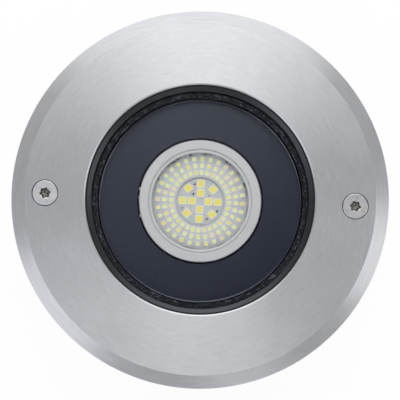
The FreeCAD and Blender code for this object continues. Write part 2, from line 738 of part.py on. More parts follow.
def make_bezel_screws():
    """Countersunk socket screws that hold the bezel through the flange to the sleeve."""
    body = new_body("bezel_screws")
    head_top = bezel_top - SCREW_SINK
    screw = turn(body, "screw", [
        (0, head_top - SCREW_LENGTH),
        (SCREW_RADIUS, head_top - SCREW_LENGTH),
        (SCREW_RADIUS, head_top - SCREW_HEAD_HEIGHT),
        (screw_head_radius, head_top),
        (0, head_top),
    ], offset=screw_pitch_radius)
    socket = new_sketch(body, "socket", "XY_Plane", head_top)
    draw_hexagon(socket, (screw_pitch_radius, 0), SCREW_SOCKET_HALF_FLATS)
    socket_cut = extrude(body, socket, SCREW_SOCKET_DEPTH, cut=True)
    repeat_mirrored(body, [screw, socket_cut])
    return body


def make_glass_disc():
    body = new_body("glass_disc")
    sketch = new_sketch(body, "disc", "XY_Plane", glass_low)
    draw_circle(sketch, (0, 0), glass_radius)
    extrude(body, sketch, GLASS_THICKNESS)
    return body


def make_glass_gasket():
    """Rubber channel round the glass, with a lip over it and a lip under it."""
    body = new_body("glass_gasket")
    turn(body, "channel", [
        (gasket_lip_radius, ledge_top),
        (gasket_radius, ledge_top),
        (gasket_radius, gasket_top),
        (gasket_lip_radius, gasket_top),
        (gasket_lip_radius, glass_top),
        (gasket_groove_radius, glass_top),
        (gasket_groove_radius, glass_low),
        (gasket_lip_radius, glass_low),
    ])
    return body


# ---------------------------------------------------------------- gimbal plate and what carries it

def make_gimbal_plate():
    body = new_body("gimbal_plate")
    sketch = new_sketch(body, "disc", "XY_Plane", plate_low)
    draw_circle(sketch, (0, 0), plate_radius)
    draw_circle(sketch, (0, 0), plate_hole_radius)
    extrude(body, sketch, PLATE_THICKNESS)
    return body


def make_pivot_ears():
    """Angle pieces under the plate. Their round ends turn on the pivot screws."""
    body = new_body("pivot_ears")
    blade = new_sketch(body, "blade", "YZ_Plane", ear_face)
    draw_outline(blade, [
        (-EAR_HALF_WIDTH, tilt_axis),
        (EAR_HALF_WIDTH, tilt_axis),
        (EAR_HALF_WIDTH, plate_low),
        (-EAR_HALF_WIDTH, plate_low),
    ], arcs={0: EAR_HALF_WIDTH + ARC_SLACK})
    blade_pad = extrude(body, blade, EAR_THICKNESS)
    tab = new_sketch(body, "tab", "XZ_Plane")
    draw_outline(tab, rectangle(ear_face - EAR_FLANGE_LENGTH, ear_face + EAR_THICKNESS / 2,
                                plate_low - EAR_THICKNESS, plate_low))
    tab_pad = extrude(body, tab, EAR_HALF_WIDTH * 2, both_ways=True)
    hole = new_sketch(body, "hole", "YZ_Plane", ear_face)
    draw_circle(hole, (0, tilt_axis), PIVOT_RADIUS + PIVOT_CLEARANCE)
    hole_cut = extrude(body, hole, EAR_THICKNESS * 3, both_ways=True, cut=True)
    repeat_mirrored(body, [blade_pad, tab_pad, hole_cut])
    return body


def make_pivot_straps():
    """Steel straps screwed to the floor. They taper up to a round eye at the tilt axis."""
    body = new_body("pivot_straps")
    leg = new_sketch(body, "leg", "YZ_Plane", strap_face)
    draw_outline(leg, [
        (-STRAP_FOOT_HALF_WIDTH, floor_top),
        (STRAP_FOOT_HALF_WIDTH, floor_top),
        (strap_eye_radius, tilt_axis),
        (-strap_eye_radius, tilt_axis),
    ], arcs={2: strap_eye_radius + ARC_SLACK})
    leg_pad = extrude(body, leg, STRAP_THICKNESS)
    foot = new_sketch(body, "foot", "XY_Plane", floor_top)
    draw_outline(foot, rectangle(strap_foot_end, strap_back,
                                 -STRAP_FOOT_HALF_WIDTH, STRAP_FOOT_HALF_WIDTH))
    draw_circle(foot, (strap_screw_place, 0), FLOOR_SCREW_RADIUS + SCREW_HOLE_CLEARANCE)
    foot_pad = extrude(body, foot, STRAP_THICKNESS)
    eye = new_sketch(body, "eye", "YZ_Plane", strap_face)
    draw_circle(eye, (0, tilt_axis), PIVOT_RADIUS + PIVOT_CLEARANCE)
    eye_cut = extrude(body, eye, STRAP_THICKNESS * 3, both_ways=True, cut=True)
    repeat_mirrored(body, [leg_pad, foot_pad, eye_cut])
    return body


def make_pivot_washers():
    """Thin square friction washers between the ears and the straps."""
    body = new_body("pivot_washers")
    sketch = new_sketch(body, "washer", "YZ_Plane", ear_back)
    draw_outline(sketch, rectangle(-WASHER_HALF_SIDE, WASHER_HALF_SIDE,
                                   tilt_axis - WASHER_HALF_SIDE, tilt_axis + WASHER_HALF_SIDE))
    draw_circle(sketch, (0, tilt_axis), PIVOT_RADIUS + PIVOT_CLEARANCE)
    washer = extrude(body, sketch, WASHER_THICKNESS)
    repeat_mirrored(body, [washer])
    return body


def make_pivot_screws():
    """Hexagon-head screws along the tilt axis."""
    body = new_body("pivot_screws")
    head = new_sketch(body, "head", "YZ_Plane", ear_face - PIVOT_HEAD_HEIGHT)
    draw_hexagon(head, (0, tilt_axis), NUT_HALF_FLATS)
    head_pad = extrude(body, head, PIVOT_HEAD_HEIGHT)
    shank = new_sketch(body, "shank", "YZ_Plane", ear_face)
    draw_circle(shank, (0, tilt_axis), PIVOT_RADIUS)
    shank_pad = extrude(body, shank, pivot_end - ear_face)
    repeat_mirrored(body, [head_pad, shank_pad])
    return body


def make_pivot_nuts():
    body = new_body("pivot_nuts")
    sketch = new_sketch(body, "nut", "YZ_Plane", strap_back)
    draw_hexagon(sketch, (0, tilt_axis), NUT_HALF_FLATS)
    draw_circle(sketch, (0, tilt_axis), PIVOT_RADIUS + THREAD_CLEARANCE)
    nut = extrude(body, sketch, NUT_THICKNESS)
    repeat_mirrored(body, [nut])
    return body


def make_strap_screws():
    """Screws that hold the straps' feet to the floor."""
    body = new_body("strap_screws")
    screw = hexagon_screw(body, (strap_screw_place, 0), floor_top + STRAP_THICKNESS,
                          FLOOR_SCREW_HALF_FLATS, FLOOR_SCREW_HEAD_HEIGHT,
                          FLOOR_SCREW_RADIUS, STRAP_THICKNESS + FLOOR_HOLE_DEPTH - SCREW_END_GAP)
    repeat_mirrored(body, screw)
    return body


def hexagon_screw(body, place, seat, half_flats, head_height, radius, reach, upwards=False):
    """A screw whose hexagonal head sits on seat, and whose shank reaches down from there, or upwards."""
    head = new_sketch(body, "head", "XY_Plane", seat)
    draw_hexagon(head, place, half_flats)
    shank = new_sketch(body, "shank", "XY_Plane", seat)
    draw_circle(shank, place, radius)
    return [
        extrude(body, head, head_height, backwards=upwards),
        extrude(body, shank, reach, backwards=not upwards),
    ]


# ---------------------------------------------------------------- lamp

def make_lamp_shell():
    """Heat sink: a core tube with bellied fins, a collar that the board sits in, and a neck for the ring."""
    body = new_body("lamp_shell")
    turn(body, "core", [
        (spigot_hole_radius, base_shoulder),
        (shell_core_radius, base_shoulder),
        (shell_core_radius, collar_bottom),
        (shell_collar_radius, collar_bottom),
        (shell_collar_radius, skirt_low),
        (neck_radius, skirt_low),
        (neck_radius, lens_low),
        (neck_bore_radius, lens_low),
        (neck_bore_radius, board_low),
        (spigot_hole_radius, board_low),
    ])
    fin = new_sketch(body, "fin", "XZ_Plane")
    root = shell_core_radius - FIN_ROOT_DEPTH
    draw_outline(fin, [
        (root, base_shoulder + FIN_FOOT_HEIGHT),
        (shell_core_radius + FIN_FOOT_DEPTH, base_shoulder + FIN_FOOT_HEIGHT),
        (shell_core_radius + FIN_BELLY_DEPTH, base_shoulder + FIN_BELLY_HEIGHT),
        (shell_collar_radius, collar_bottom),
        (root, collar_bottom),
    ])
    fin_pad = extrude(body, fin, FIN_THICKNESS, both_ways=True)
    repeat_round(body, [fin_pad], FIN_COUNT)
    return body


def make_lamp_front_ring():
    """Satin ring that clamps the lens: a lip over it and a skirt round the shell's neck."""
    body = new_body("lamp_front_ring")
    turn(body, "ring", [
        (lamp_window_radius, lens_top),
        (skirt_bore_radius, lens_top),
        (skirt_bore_radius, skirt_low),
        (LAMP_RADIUS, skirt_low),
        (LAMP_RADIUS, lamp_top),
        (lamp_window_radius, lamp_top),
    ])
    return body


def make_lamp_lens():
    body = new_body("lamp_lens")
    sketch = new_sketch(body, "disc", "XY_Plane", lens_low)
    draw_circle(sketch, (0, 0), neck_radius)
    extrude(body, sketch, LENS_THICKNESS)
    return body


def make_led_board():
    body = new_body("led_board")
    sketch = new_sketch(body, "disc", "XY_Plane", board_low)
    draw_circle(sketch, (0, 0), neck_bore_radius - RING_FIT_CLEARANCE)
    extrude(body, sketch, LED_BOARD_THICKNESS)
    return body


def make_led_centre_board():
    body = new_body("led_centre_board")
    sketch = new_sketch(body, "disc", "XY_Plane", board_top)
    draw_circle(sketch, (0, 0), centre_board_radius)
    extrude(body, sketch, CENTRE_BOARD_THICKNESS)
    return body


def make_led_chips_large():
    """Twelve square chips on the centre board: four inside, eight round them."""
    body = new_body("led_chips_large")
    seat = board_top + CENTRE_BOARD_THICKNESS
    for ring, pitch, count in (("inner", INNER_CHIP_PITCH_RADIUS, INNER_CHIP_COUNT),
                               ("outer", outer_chip_pitch_radius, OUTER_CHIP_COUNT)):
        sketch = new_sketch(body, ring, "XY_Plane", seat)
        draw_outline(sketch, rectangle(pitch - half_large_chip, pitch + half_large_chip,
                                       -half_large_chip, half_large_chip))
        chip = extrude(body, sketch, LARGE_CHIP_HEIGHT)
        repeat_round(body, [chip], count)
    turn_about_axis(body, LED_TURN)
    return body


def make_led_chips_small():
    """Three rings of small chips, in line with each other outwards."""
    body = new_body("led_chips_small")
    half_length = SMALL_CHIP_LENGTH / 2
    half_width = SMALL_CHIP_WIDTH / 2
    sketch = new_sketch(body, "row", "XY_Plane", board_top)
    for step in range(int(number(SMALL_CHIP_RINGS))):
        pitch = small_chip_pitch_radius + SMALL_CHIP_RING_STEP * step
        draw_outline(sketch, rectangle(pitch - half_length, pitch + half_length, -half_width, half_width))
    chips = extrude(body, sketch, SMALL_CHIP_HEIGHT)
    repeat_round(body, [chips], SMALL_CHIP_COUNT)
    turn_about_axis(body, LED_TURN)
    return body


def turn_about_axis(body, angle):
    """Sets a body round the Z axis by an angle."""
    turned = FreeCAD.Rotation(FreeCAD.Vector(0, 0, 1), angle.value)
    body.Placement = FreeCAD.Placement(FreeCAD.Vector(), turned)
    body.setExpression("Placement.Rotation.Angle", angle.formula)


def make_lamp_driver_board():
    """Upright circuit board inside the shell, on the base's spigot."""
    board = doc.addObject("Part::Box", "lamp_driver_board")
    board.Label = "lamp_driver_board"
    bind(board, "Length", DRIVER_BOARD_WIDTH)
    bind(board, "Width", DRIVER_BOARD_THICKNESS)
    bind(board, "Height", DRIVER_BOARD_HEIGHT)
    board.setExpression("Placement.Base.x", (-(DRIVER_BOARD_WIDTH / 2)).formula)
    board.setExpression("Placement.Base.y", (-(DRIVER_BOARD_THICKNESS / 2)).formula)
    board.setExpression("Placement.Base.z", spigot_top.formula)
    return board


def make_lamp_base():
    """Moulded base with a spigot that the heat sink's core fits over."""
    body = new_body("lamp_base")
    base_radius = LAMP_BASE_SPIGOT_RADIUS + LAMP_BASE_STEP
    turn(body, "base", [
        (0, base_face),
        (base_radius, base_face),
        (base_radius, base_shoulder),
        (LAMP_BASE_SPIGOT_RADIUS, base_shoulder),
        (LAMP_BASE_SPIGOT_RADIUS, spigot_top),
        (0, spigot_top),
    ])
    return body


def make_lamp_pins():
    """Two headed pins that hang and feed the lamp in the holder's slots."""
    body = new_body("lamp_pins")
    head_top = pin_tip + PIN_HEAD_HEIGHT
    pin = turn(body, "pin", [
        (0, pin_tip),
        (PIN_HEAD_RADIUS, pin_tip),
        (PIN_HEAD_RADIUS, head_top),
        (PIN_NECK_RADIUS, head_top),
        (PIN_NECK_RADIUS, base_face),
        (0, base_face),
    ], offset=PIN_PITCH_RADIUS)
    repeat_mirrored(body, [pin])
    return body


# ---------------------------------------------------------------- lampholder and bracket

def draw_twist_slot(sketch, half_width):
    """A slot bent round the lamp's axis, from a pin's locked place to its way out."""
    outer = PIN_PITCH_RADIUS + half_width
    inner = PIN_PITCH_RADIUS - half_width
    corners = [
        (outer, 0),
        round_place(outer, TWIST_ANGLE),
        round_place(inner, TWIST_ANGLE),
        (inner, 0),
    ]
    draw_outline(sketch, corners, arcs={
        0: outer,
        1: half_width + ARC_SLACK,
        2: -inner,
        3: half_width + ARC_SLACK,
    })


def make_lampholder_cap():
    """Ceramic cap. Each slot ends in a round hole that lets a pin's head through."""
    body = new_body("lampholder_cap")
    disc = new_sketch(body, "disc", "XY_Plane", holder_top)
    draw_circle(disc, (0, 0), HOLDER_RADIUS)
    extrude(body, disc, HOLDER_CAP_THICKNESS)
    slot = new_sketch(body, "slot", "XY_Plane", cap_top)
    draw_twist_slot(slot, PIN_NECK_RADIUS + PIN_SLOT_CLEARANCE)
    slot_cut = extrude(body, slot, HOLDER_CAP_THICKNESS * 2, cut=True)
    way_out = new_sketch(body, "way_out", "XY_Plane", cap_top)
    freed_pin = round_place(PIN_PITCH_RADIUS, TWIST_ANGLE)
    draw_circle(way_out, freed_pin, PIN_HEAD_RADIUS + PIN_SLOT_CLEARANCE)
    way_out_cut = extrude(body, way_out, HOLDER_CAP_THICKNESS * 2, cut=True)
    repeat_round(body, [slot_cut, way_out_cut], 2)
    return body


def make_lampholder_base():
    """Ceramic base with a well for each pin's head, and two blind holes for its screws."""
    body = new_body("lampholder_base")
    disc = new_sketch(body, "disc", "XY_Plane", holder_low)
    draw_circle(disc, (0, 0), HOLDER_RADIUS)
    extrude(body, disc, HOLDER_BASE_HEIGHT)
    well = new_sketch(body, "well", "XY_Plane", holder_top)
    draw_twist_slot(well, PIN_HEAD_RADIUS + PIN_SLOT_CLEARANCE)
    well_cut = extrude(body, well, HOLDER_WELL_DEPTH, cut=True)
    repeat_round(body, [well_cut], 2)
    hole = new_sketch(body, "screw_hole", "XY_Plane", holder_low)
    draw_circle(hole, (0, HOLDER_SCREW_PITCH_RADIUS), SMALL_SCREW_RADIUS + THREAD_CLEARANCE)
    draw_circle(hole, (0, -HOLDER_SCREW_PITCH_RADIUS), SMALL_SCREW_RADIUS + THREAD_CLEARANCE)
    extrude(body, hole, HOLDER_SCREW_GRIP + SCREW_END_GAP, cut=True, backwards=True)
    return body


def make_holder_contacts():
    """Folded leaf springs in the wells, just under the pins."""
    body = new_body("holder_contacts")
    leaf = new_sketch(body, "leaf", "XZ_Plane")
    inner = PIN_PITCH_RADIUS - CONTACT_REACH
    outer = PIN_PITCH_RADIUS + CONTACT_REACH
    tip = pin_tip - CONTACT_GAP
    draw_outline(leaf, [
        (inner, well_floor),
        (outer, well_floor),
        (outer, well_floor + CONTACT_THICKNESS),
        (inner + CONTACT_THICKNESS * 3, well_floor + CONTACT_THICKNESS),
        (outer, tip - CONTACT_THICKNESS),
        (outer, tip),
        (outer - CONTACT_THICKNESS, tip),
        (inner, well_floor + CONTACT_THICKNESS),
    ])
    leaf_pad = extrude(body, leaf, CONTACT_HALF_WIDTH * 2, both_ways=True)
    repeat_round(body, [leaf_pad], 2)
    return body


def make_lampholder_bracket():
    """Bent strip: two tabs under the plate, legs that follow the lamp in, and a web under the holder."""
    body = new_body("lampholder_bracket")
    strip = new_sketch(body, "strip", "YZ_Plane")
    tab_end = bracket_leg_face + BRACKET_TAB_LENGTH
    half = [
        (tab_end, plate_low),
        (bracket_leg_face, plate_low),
        (bracket_web_face, holder_low),
    ]
    back = [
        (bracket_web_face + BRACKET_THICKNESS, bracket_web_low),
        (bracket_leg_face + BRACKET_THICKNESS, bracket_tab_low),
        (tab_end, bracket_tab_low),
    ]
    mirrored_half = [(-y, z) for y, z in reversed(half)]
    mirrored_back = [(-y, z) for y, z in reversed(back)]
    draw_outline(strip, half + mirrored_half + mirrored_back + back)
    extrude(body, strip, BRACKET_HALF_WIDTH * 2, both_ways=True)
    stud_hole = new_sketch(body, "stud_hole", "XY_Plane", plate_low)
    draw_circle(stud_hole, (0, stud_place), STUD_RADIUS + STUD_HOLE_CLEARANCE)
    draw_circle(stud_hole, (0, -stud_place), STUD_RADIUS + STUD_HOLE_CLEARANCE)
    extrude(body, stud_hole, BRACKET_THICKNESS * 2, cut=True)
    screw_hole = new_sketch(body, "screw_hole", "XY_Plane", holder_low)
    draw_circle(screw_hole, (0, HOLDER_SCREW_PITCH_RADIUS), SMALL_SCREW_RADIUS + STUD_HOLE_CLEARANCE)
    draw_circle(screw_hole, (0, -HOLDER_SCREW_PITCH_RADIUS), SMALL_SCREW_RADIUS + STUD_HOLE_CLEARANCE)
    extrude(body, screw_hole, BRACKET_THICKNESS * 2, cut=True)
    return body


def make_plate_studs():
    """Weld studs under the plate that the bracket's tabs go over."""
    body = new_body("plate_studs")
    length = BRACKET_THICKNESS + STUD_NUT_THICKNESS + STUD_OVERRUN
    sketch = new_sketch(body, "stud", "XY_Plane", plate_low)
    draw_circle(sketch, (0, stud_place), STUD_RADIUS)
    stud = extrude(body, sketch, length, backwards=True)
    repeat_mirrored(body, [stud], "XZ_Plane")
    return body


def make_stud_nuts():
    body = new_body("stud_nuts")
    sketch = new_sketch(body, "nut", "XY_Plane", bracket_tab_low)
    draw_hexagon(sketch, (0, stud_place), STUD_NUT_HALF_FLATS)
    draw_circle(sketch, (0, stud_place), STUD_RADIUS + THREAD_CLEARANCE)
    nut = extrude(body, sketch, STUD_NUT_THICKNESS, backwards=True)
    repeat_mirrored(body, [nut], "XZ_Plane")
    return body


def make_holder_screws():
    """Screws up through the bracket's web into the holder."""
    body = new_body("holder_screws")
    screw = hexagon_screw(body, (0, HOLDER_SCREW_PITCH_RADIUS), bracket_web_low,
                          SMALL_SCREW_HALF_FLATS, SMALL_SCREW_HEAD_HEIGHT,
                          SMALL_SCREW_RADIUS, BRACKET_THICKNESS + HOLDER_SCREW_GRIP, upwards=True)
    repeat_mirrored(body, screw, "XZ_Plane")
    return body


# ---------------------------------------------------------------- terminal block and earth screw

def make_terminal_block():
    """Three-pole block: a base strip with fixing lugs, and a hollow tower with two screw wells per pole."""
    body = new_body("terminal_block")
    strip = new_sketch(body, "strip", "XY_Plane", floor_top)
    strip_end = block_screw_place + BLOCK_STRIP_MARGIN
    draw_outline(strip, rectangle(-strip_end, strip_end, -BLOCK_STRIP_HALF_WIDTH, BLOCK_STRIP_HALF_WIDTH))
    draw_circle(strip, (block_screw_place, 0), SMALL_SCREW_RADIUS + STUD_HOLE_CLEARANCE)
    draw_circle(strip, (-block_screw_place, 0), SMALL_SCREW_RADIUS + STUD_HOLE_CLEARANCE)
    extrude(body, strip, BLOCK_STRIP_HEIGHT)
    tower = new_sketch(body, "tower", "XZ_Plane")
    shoulder = floor_top + POLE_HEIGHT - POLE_BEVEL
    crown = POLE_HALF_WIDTH - POLE_BEVEL
    draw_outline(tower, [
        (first_pole - POLE_HALF_WIDTH, floor_top),
        (first_pole + POLE_HALF_WIDTH, floor_top),
        (first_pole + POLE_HALF_WIDTH, shoulder),
        (first_pole + crown, shoulder + POLE_BEVEL),
        (first_pole - crown, shoulder + POLE_BEVEL),
        (first_pole - POLE_HALF_WIDTH, shoulder),
    ])
    tower_pad = extrude(body, tower, POLE_HALF_LENGTH * 2, both_ways=True)
    channel = new_sketch(body, "channel", "XZ_Plane")
    draw_barrel_square(channel, BARREL_HALF_WIDTH + BARREL_FIT_CLEARANCE)
    channel_cut = extrude(body, channel, POLE_HALF_LENGTH * 3, both_ways=True, cut=True)
    well = new_sketch(body, "well", "XY_Plane", floor_top + POLE_HEIGHT)
    draw_terminal_screws(well, TERMINAL_SCREW_HALF_FLATS + PIN_SLOT_CLEARANCE)
    well_cut = extrude(body, well, POLE_HEIGHT - BARREL_HEIGHT, cut=True)
    repeat_along_x(body, [tower_pad, channel_cut, well_cut], POLE_PITCH, POLE_COUNT)
    return body


def draw_barrel_square(sketch, half_width):
    """A square round the first pole's barrel, seen along it."""
    draw_outline(sketch, rectangle(first_pole - half_width, first_pole + half_width,
                                   barrel_centre - half_width, barrel_centre + half_width))


def draw_terminal_screws(sketch, half_flats):
    """The hexagons of the first pole's two clamping screws, seen from above."""
    draw_hexagon(sketch, (first_pole, TERMINAL_SCREW_SPACING), half_flats)
    draw_hexagon(sketch, (first_pole, -TERMINAL_SCREW_SPACING), half_flats)


def make_terminal_barrels():
    """Square brass barrels with a channel for the wires and two screw holes each."""
    body = new_body("terminal_barrels")
    tube = new_sketch(body, "tube", "XZ_Plane")
    draw_barrel_square(tube, BARREL_HALF_WIDTH)
    draw_barrel_square(tube, BARREL_WIRE_HALF_WIDTH)
    tube_pad = extrude(body, tube, BARREL_HALF_LENGTH * 2, both_ways=True)
    hole = new_sketch(body, "screw_hole", "XY_Plane", barrel_centre + BARREL_HALF_WIDTH)
    draw_terminal_screws(hole, TERMINAL_SCREW_HALF_FLATS + THREAD_CLEARANCE)
    hole_cut = extrude(body, hole, BARREL_HALF_WIDTH, cut=True)
    repeat_along_x(body, [tube_pad, hole_cut], POLE_PITCH, POLE_COUNT)
    return body


def make_terminal_screws():
    body = new_body("terminal_screws")
    sketch = new_sketch(body, "screws", "XY_Plane", barrel_centre)
    draw_terminal_screws(sketch, TERMINAL_SCREW_HALF_FLATS)
    screws = extrude(body, sketch, TERMINAL_SCREW_HEIGHT)
    repeat_along_x(body, [screws], POLE_PITCH, POLE_COUNT)
    return body


def make_block_screws():
    """Screws through the block's lugs into the floor."""
    body = new_body("block_screws")
    reach = BLOCK_STRIP_HEIGHT + FLOOR_HOLE_DEPTH - SCREW_END_GAP
    screw = hexagon_screw(body, (block_screw_place, 0), floor_top + BLOCK_STRIP_HEIGHT,
                          SMALL_SCREW_HALF_FLATS, SMALL_SCREW_HEAD_HEIGHT,
                          SMALL_SCREW_RADIUS, reach)
    repeat_mirrored(body, screw)
    return body


def make_earth_screw():
    body = new_body("earth_screw")
    hexagon_screw(body, earth_place(), floor_top + EARTH_WASHER_THICKNESS,
                  FLOOR_SCREW_HALF_FLATS, FLOOR_SCREW_HEAD_HEIGHT,
                  FLOOR_SCREW_RADIUS, EARTH_WASHER_THICKNESS + FLOOR_HOLE_DEPTH - SCREW_END_GAP)
    return body


def make_earth_washer():
    body = new_body("earth_washer")
    sketch = new_sketch(body, "washer", "XY_Plane", floor_top)
    x, y = earth_place()
    draw_outline(sketch, rectangle(x - EARTH_WASHER_HALF_SIDE, x + EARTH_WASHER_HALF_SIDE,
                                   y - EARTH_WASHER_HALF_SIDE, y + EARTH_WASHER_HALF_SIDE))
    draw_circle(sketch, (x, y), FLOOR_SCREW_RADIUS + STUD_HOLE_CLEARANCE)
    extrude(body, sketch, EARTH_WASHER_THICKNESS)
    return body


# ---------------------------------------------------------------- cable glands

def make_gland_bodies():
    """Gland bodies: a thread up through the floor, a hexagon under it and a spigot for the dome nut."""
    body = new_body("gland_bodies")
    hexagon = new_sketch(body, "hexagon", "XY_Plane", gland_hex_low)
    draw_hexagon(hexagon, (0, gland_place), gland_half_flats)
    draw_circle(hexagon, (0, gland_place), GLAND_BORE_RADIUS)
    hexagon_pad = extrude(body, hexagon, GLAND_HEX_HEIGHT)
    thread = new_sketch(body, "thread", "XY_Plane", gland_hex_top)
    draw_circle(thread, (0, gland_place), GLAND_THREAD_RADIUS)
    draw_circle(thread, (0, gland_place), GLAND_BORE_RADIUS)
    thread_pad = extrude(body, thread, thread_top - gland_hex_top)
    spigot = new_sketch(body, "spigot", "XY_Plane", gland_hex_low)
    draw_circle(spigot, (0, gland_place), gland_spigot_radius)
    draw_circle(spigot, (0, gland_place), GLAND_BORE_RADIUS)
    spigot_pad = extrude(body, spigot, gland_hex_low - gland_spigot_low, backwards=True)
    repeat_mirrored(body, [hexagon_pad, thread_pad, spigot_pad], "XZ_Plane")
    return body


def make_gland_washers():
    """Sealing washers, cut to the glands' hexagon."""
    body = new_body("gland_washers")
    sketch = new_sketch(body, "washer", "XY_Plane", gland_hex_top)
    draw_hexagon(sketch, (0, gland_place), gland_half_flats + GLAND_WASHER_MARGIN)
    draw_circle(sketch, (0, gland_place), GLAND_THREAD_RADIUS + GLAND_HOLE_CLEARANCE)
    washer = extrude(body, sketch, GLAND_WASHER_THICKNESS)
    repeat_mirrored(body, [washer], "XZ_Plane")
    return body


def make_gland_locknuts():
    body = new_body("gland_locknuts")
    sketch = new_sketch(body, "nut", "XY_Plane", floor_top)
    draw_hexagon(sketch, (0, gland_place), gland_half_flats)
    draw_circle(sketch, (0, gland_place), GLAND_THREAD_RADIUS + GLAND_HOLE_CLEARANCE)
    nut = extrude(body, sketch, GLAND_NUT_THICKNESS)
    repeat_mirrored(body, [nut], "XZ_Plane")
    return body


def make_gland_seals():
    """Rubber sleeves that grip the cable inside the gland bodies."""
    body = new_body("gland_seals")
    sketch = new_sketch(body, "seal", "XY_Plane", dome_low + GLAND_DOME_FLOOR)
    draw_circle(sketch, (0, gland_place), GLAND_BORE_RADIUS - SEAL_FIT_CLEARANCE)
    draw_circle(sketch, (0, gland_place), SEAL_BORE_RADIUS)
    seal = extrude(body, sketch, SEAL_LENGTH)
    repeat_mirrored(body, [seal], "XZ_Plane")
    return body


def make_gland_dome_nuts():
    """Hexagonal caps with a sloped nose that press the seals on the cable."""
    body = new_body("gland_dome_nuts")
    nose_top = dome_low + GLAND_NOSE_HEIGHT
    hexagon = new_sketch(body, "hexagon", "XY_Plane", nose_top)
    draw_hexagon(hexagon, (0, gland_place), gland_half_flats)
    hexagon_pad = extrude(body, hexagon, gland_hex_low - nose_top)
    nose = new_sketch(body, "nose", "XY_Plane", nose_top)
    draw_hexagon(nose, (0, gland_place), gland_half_flats)
    nose_pad = extrude(body, nose, GLAND_NOSE_HEIGHT, backwards=True, taper=GLAND_NOSE_TAPER)
    mouth = new_sketch(body, "mouth", "XY_Plane", gland_hex_low)
    draw_circle(mouth, (0, gland_place), GLAND_BORE_RADIUS - GLAND_MOUTH_STEP)
    mouth_cut = extrude(body, mouth, GLAND_DOME_HEIGHT * 2, cut=True)
    bore = new_sketch(body, "bore", "XY_Plane", gland_hex_low)
    draw_circle(bore, (0, gland_place), gland_spigot_radius + GLAND_HOLE_CLEARANCE)
    bore_cut = extrude(body, bore, GLAND_DOME_HEIGHT - GLAND_DOME_FLOOR, cut=True)
    repeat_mirrored(body, [hexagon_pad, nose_pad, mouth_cut, bore_cut], "XZ_Plane")
    return body


SUB_PARTS = (
    make_mounting_sleeve,
    make_threaded_inserts,
    make_housing_body,
    make_bezel_ring,
    make_bezel_screws,
    make_glass_disc,
    make_glass_gasket,
    make_gimbal_plate,
    make_pivot_ears,
    make_pivot_straps,
    make_pivot_washers,
    make_pivot_screws,
    make_pivot_nuts,
    make_strap_screws,
    make_lamp_shell,
    make_lamp_front_ring,
    make_lamp_lens,
    make_led_board,
    make_led_centre_board,
    make_led_chips_large,
    make_led_chips_small,
    make_lamp_driver_board,
    make_lamp_base,
    make_lamp_pins,
    make_lampholder_cap,
    make_lampholder_base,
    make_holder_contacts,
    make_lampholder_bracket,
    make_plate_studs,
    make_stud_nuts,
    make_holder_screws,
    make_terminal_block,
    make_terminal_barrels,
    make_terminal_screws,
    make_block_screws,
    make_earth_screw,
    make_earth_washer,
    make_gland_bodies,
    make_gland_washers,
    make_gland_locknuts,
    make_gland_seals,
    make_gland_dome_nuts,
)
sub_parts = [make() for make in SUB_PARTS]
doc.recompute()

for item in doc.Objects:
    if "Invalid" in item.State or "Error" in item.State:
        raise RuntimeError(f"{item.Name} failed: {item.State}")
for sub_part in sub_parts:
    if sub_part.Shape.isNull() or not sub_part.Shape.isValid():
        raise RuntimeError(f"{sub_part.Label} has no sound shape")

os.makedirs("parts", exist_ok=True)
for sub_part in sub_parts:
    sub_part.Shape.exportStep(f"parts/{sub_part.Label}.step")
    box = sub_part.Shape.BoundBox
    print(f"{sub_part.Label}: {len(sub_part.Shape.Solids)} solids, {sub_part.Shape.Volume:.1f} mm3, "
          f"z {box.ZMin:.2f} to {box.ZMax:.2f}")
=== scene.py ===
"""In-ground well light: finishes, finer pieces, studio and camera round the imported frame.

The light stands on its sleeve's foot, its axis is Z, and the two bezel screws lie on the X axis.
The frame and Blender's meshes are in metres. Sizes of the light are written in millimetres here,
and MM turns them into metres. They come from the frame's nodes wherever these have them.
"""

import json
import math

import bmesh
import bpy
from mathutils import Matrix, Vector


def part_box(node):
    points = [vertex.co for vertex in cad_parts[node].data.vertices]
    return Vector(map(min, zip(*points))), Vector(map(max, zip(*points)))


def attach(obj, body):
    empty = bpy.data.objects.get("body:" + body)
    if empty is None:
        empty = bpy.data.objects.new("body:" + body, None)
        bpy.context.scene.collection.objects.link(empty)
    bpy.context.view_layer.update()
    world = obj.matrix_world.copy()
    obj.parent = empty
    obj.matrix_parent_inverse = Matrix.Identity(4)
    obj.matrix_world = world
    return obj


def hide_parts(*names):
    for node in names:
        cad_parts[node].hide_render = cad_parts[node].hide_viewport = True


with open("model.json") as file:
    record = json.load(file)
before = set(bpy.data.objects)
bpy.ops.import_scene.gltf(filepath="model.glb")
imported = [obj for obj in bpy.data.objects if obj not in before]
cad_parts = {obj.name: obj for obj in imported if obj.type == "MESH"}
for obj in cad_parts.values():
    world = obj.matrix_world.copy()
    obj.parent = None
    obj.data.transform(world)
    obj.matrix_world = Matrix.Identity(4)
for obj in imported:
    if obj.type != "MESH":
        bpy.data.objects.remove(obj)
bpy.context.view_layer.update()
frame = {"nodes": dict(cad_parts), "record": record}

MM = 0.001
FULL_TURN = 2 * math.pi
X, Y, Z = range(3)
BODY_OF = {node: body for body, nodes in frame["record"]["behaviour"]["bodies"].items() for node in nodes}
SLOT_OF = {item["node"]: item["material_slot"] for item in frame["record"]["subparts"]}


# ---------------------------------------------------------------- sizes

def millimetres(length):
    """A length of the frame to the hundredth, because its meshes hold rounded numbers."""
    return round(length / MM, 2)


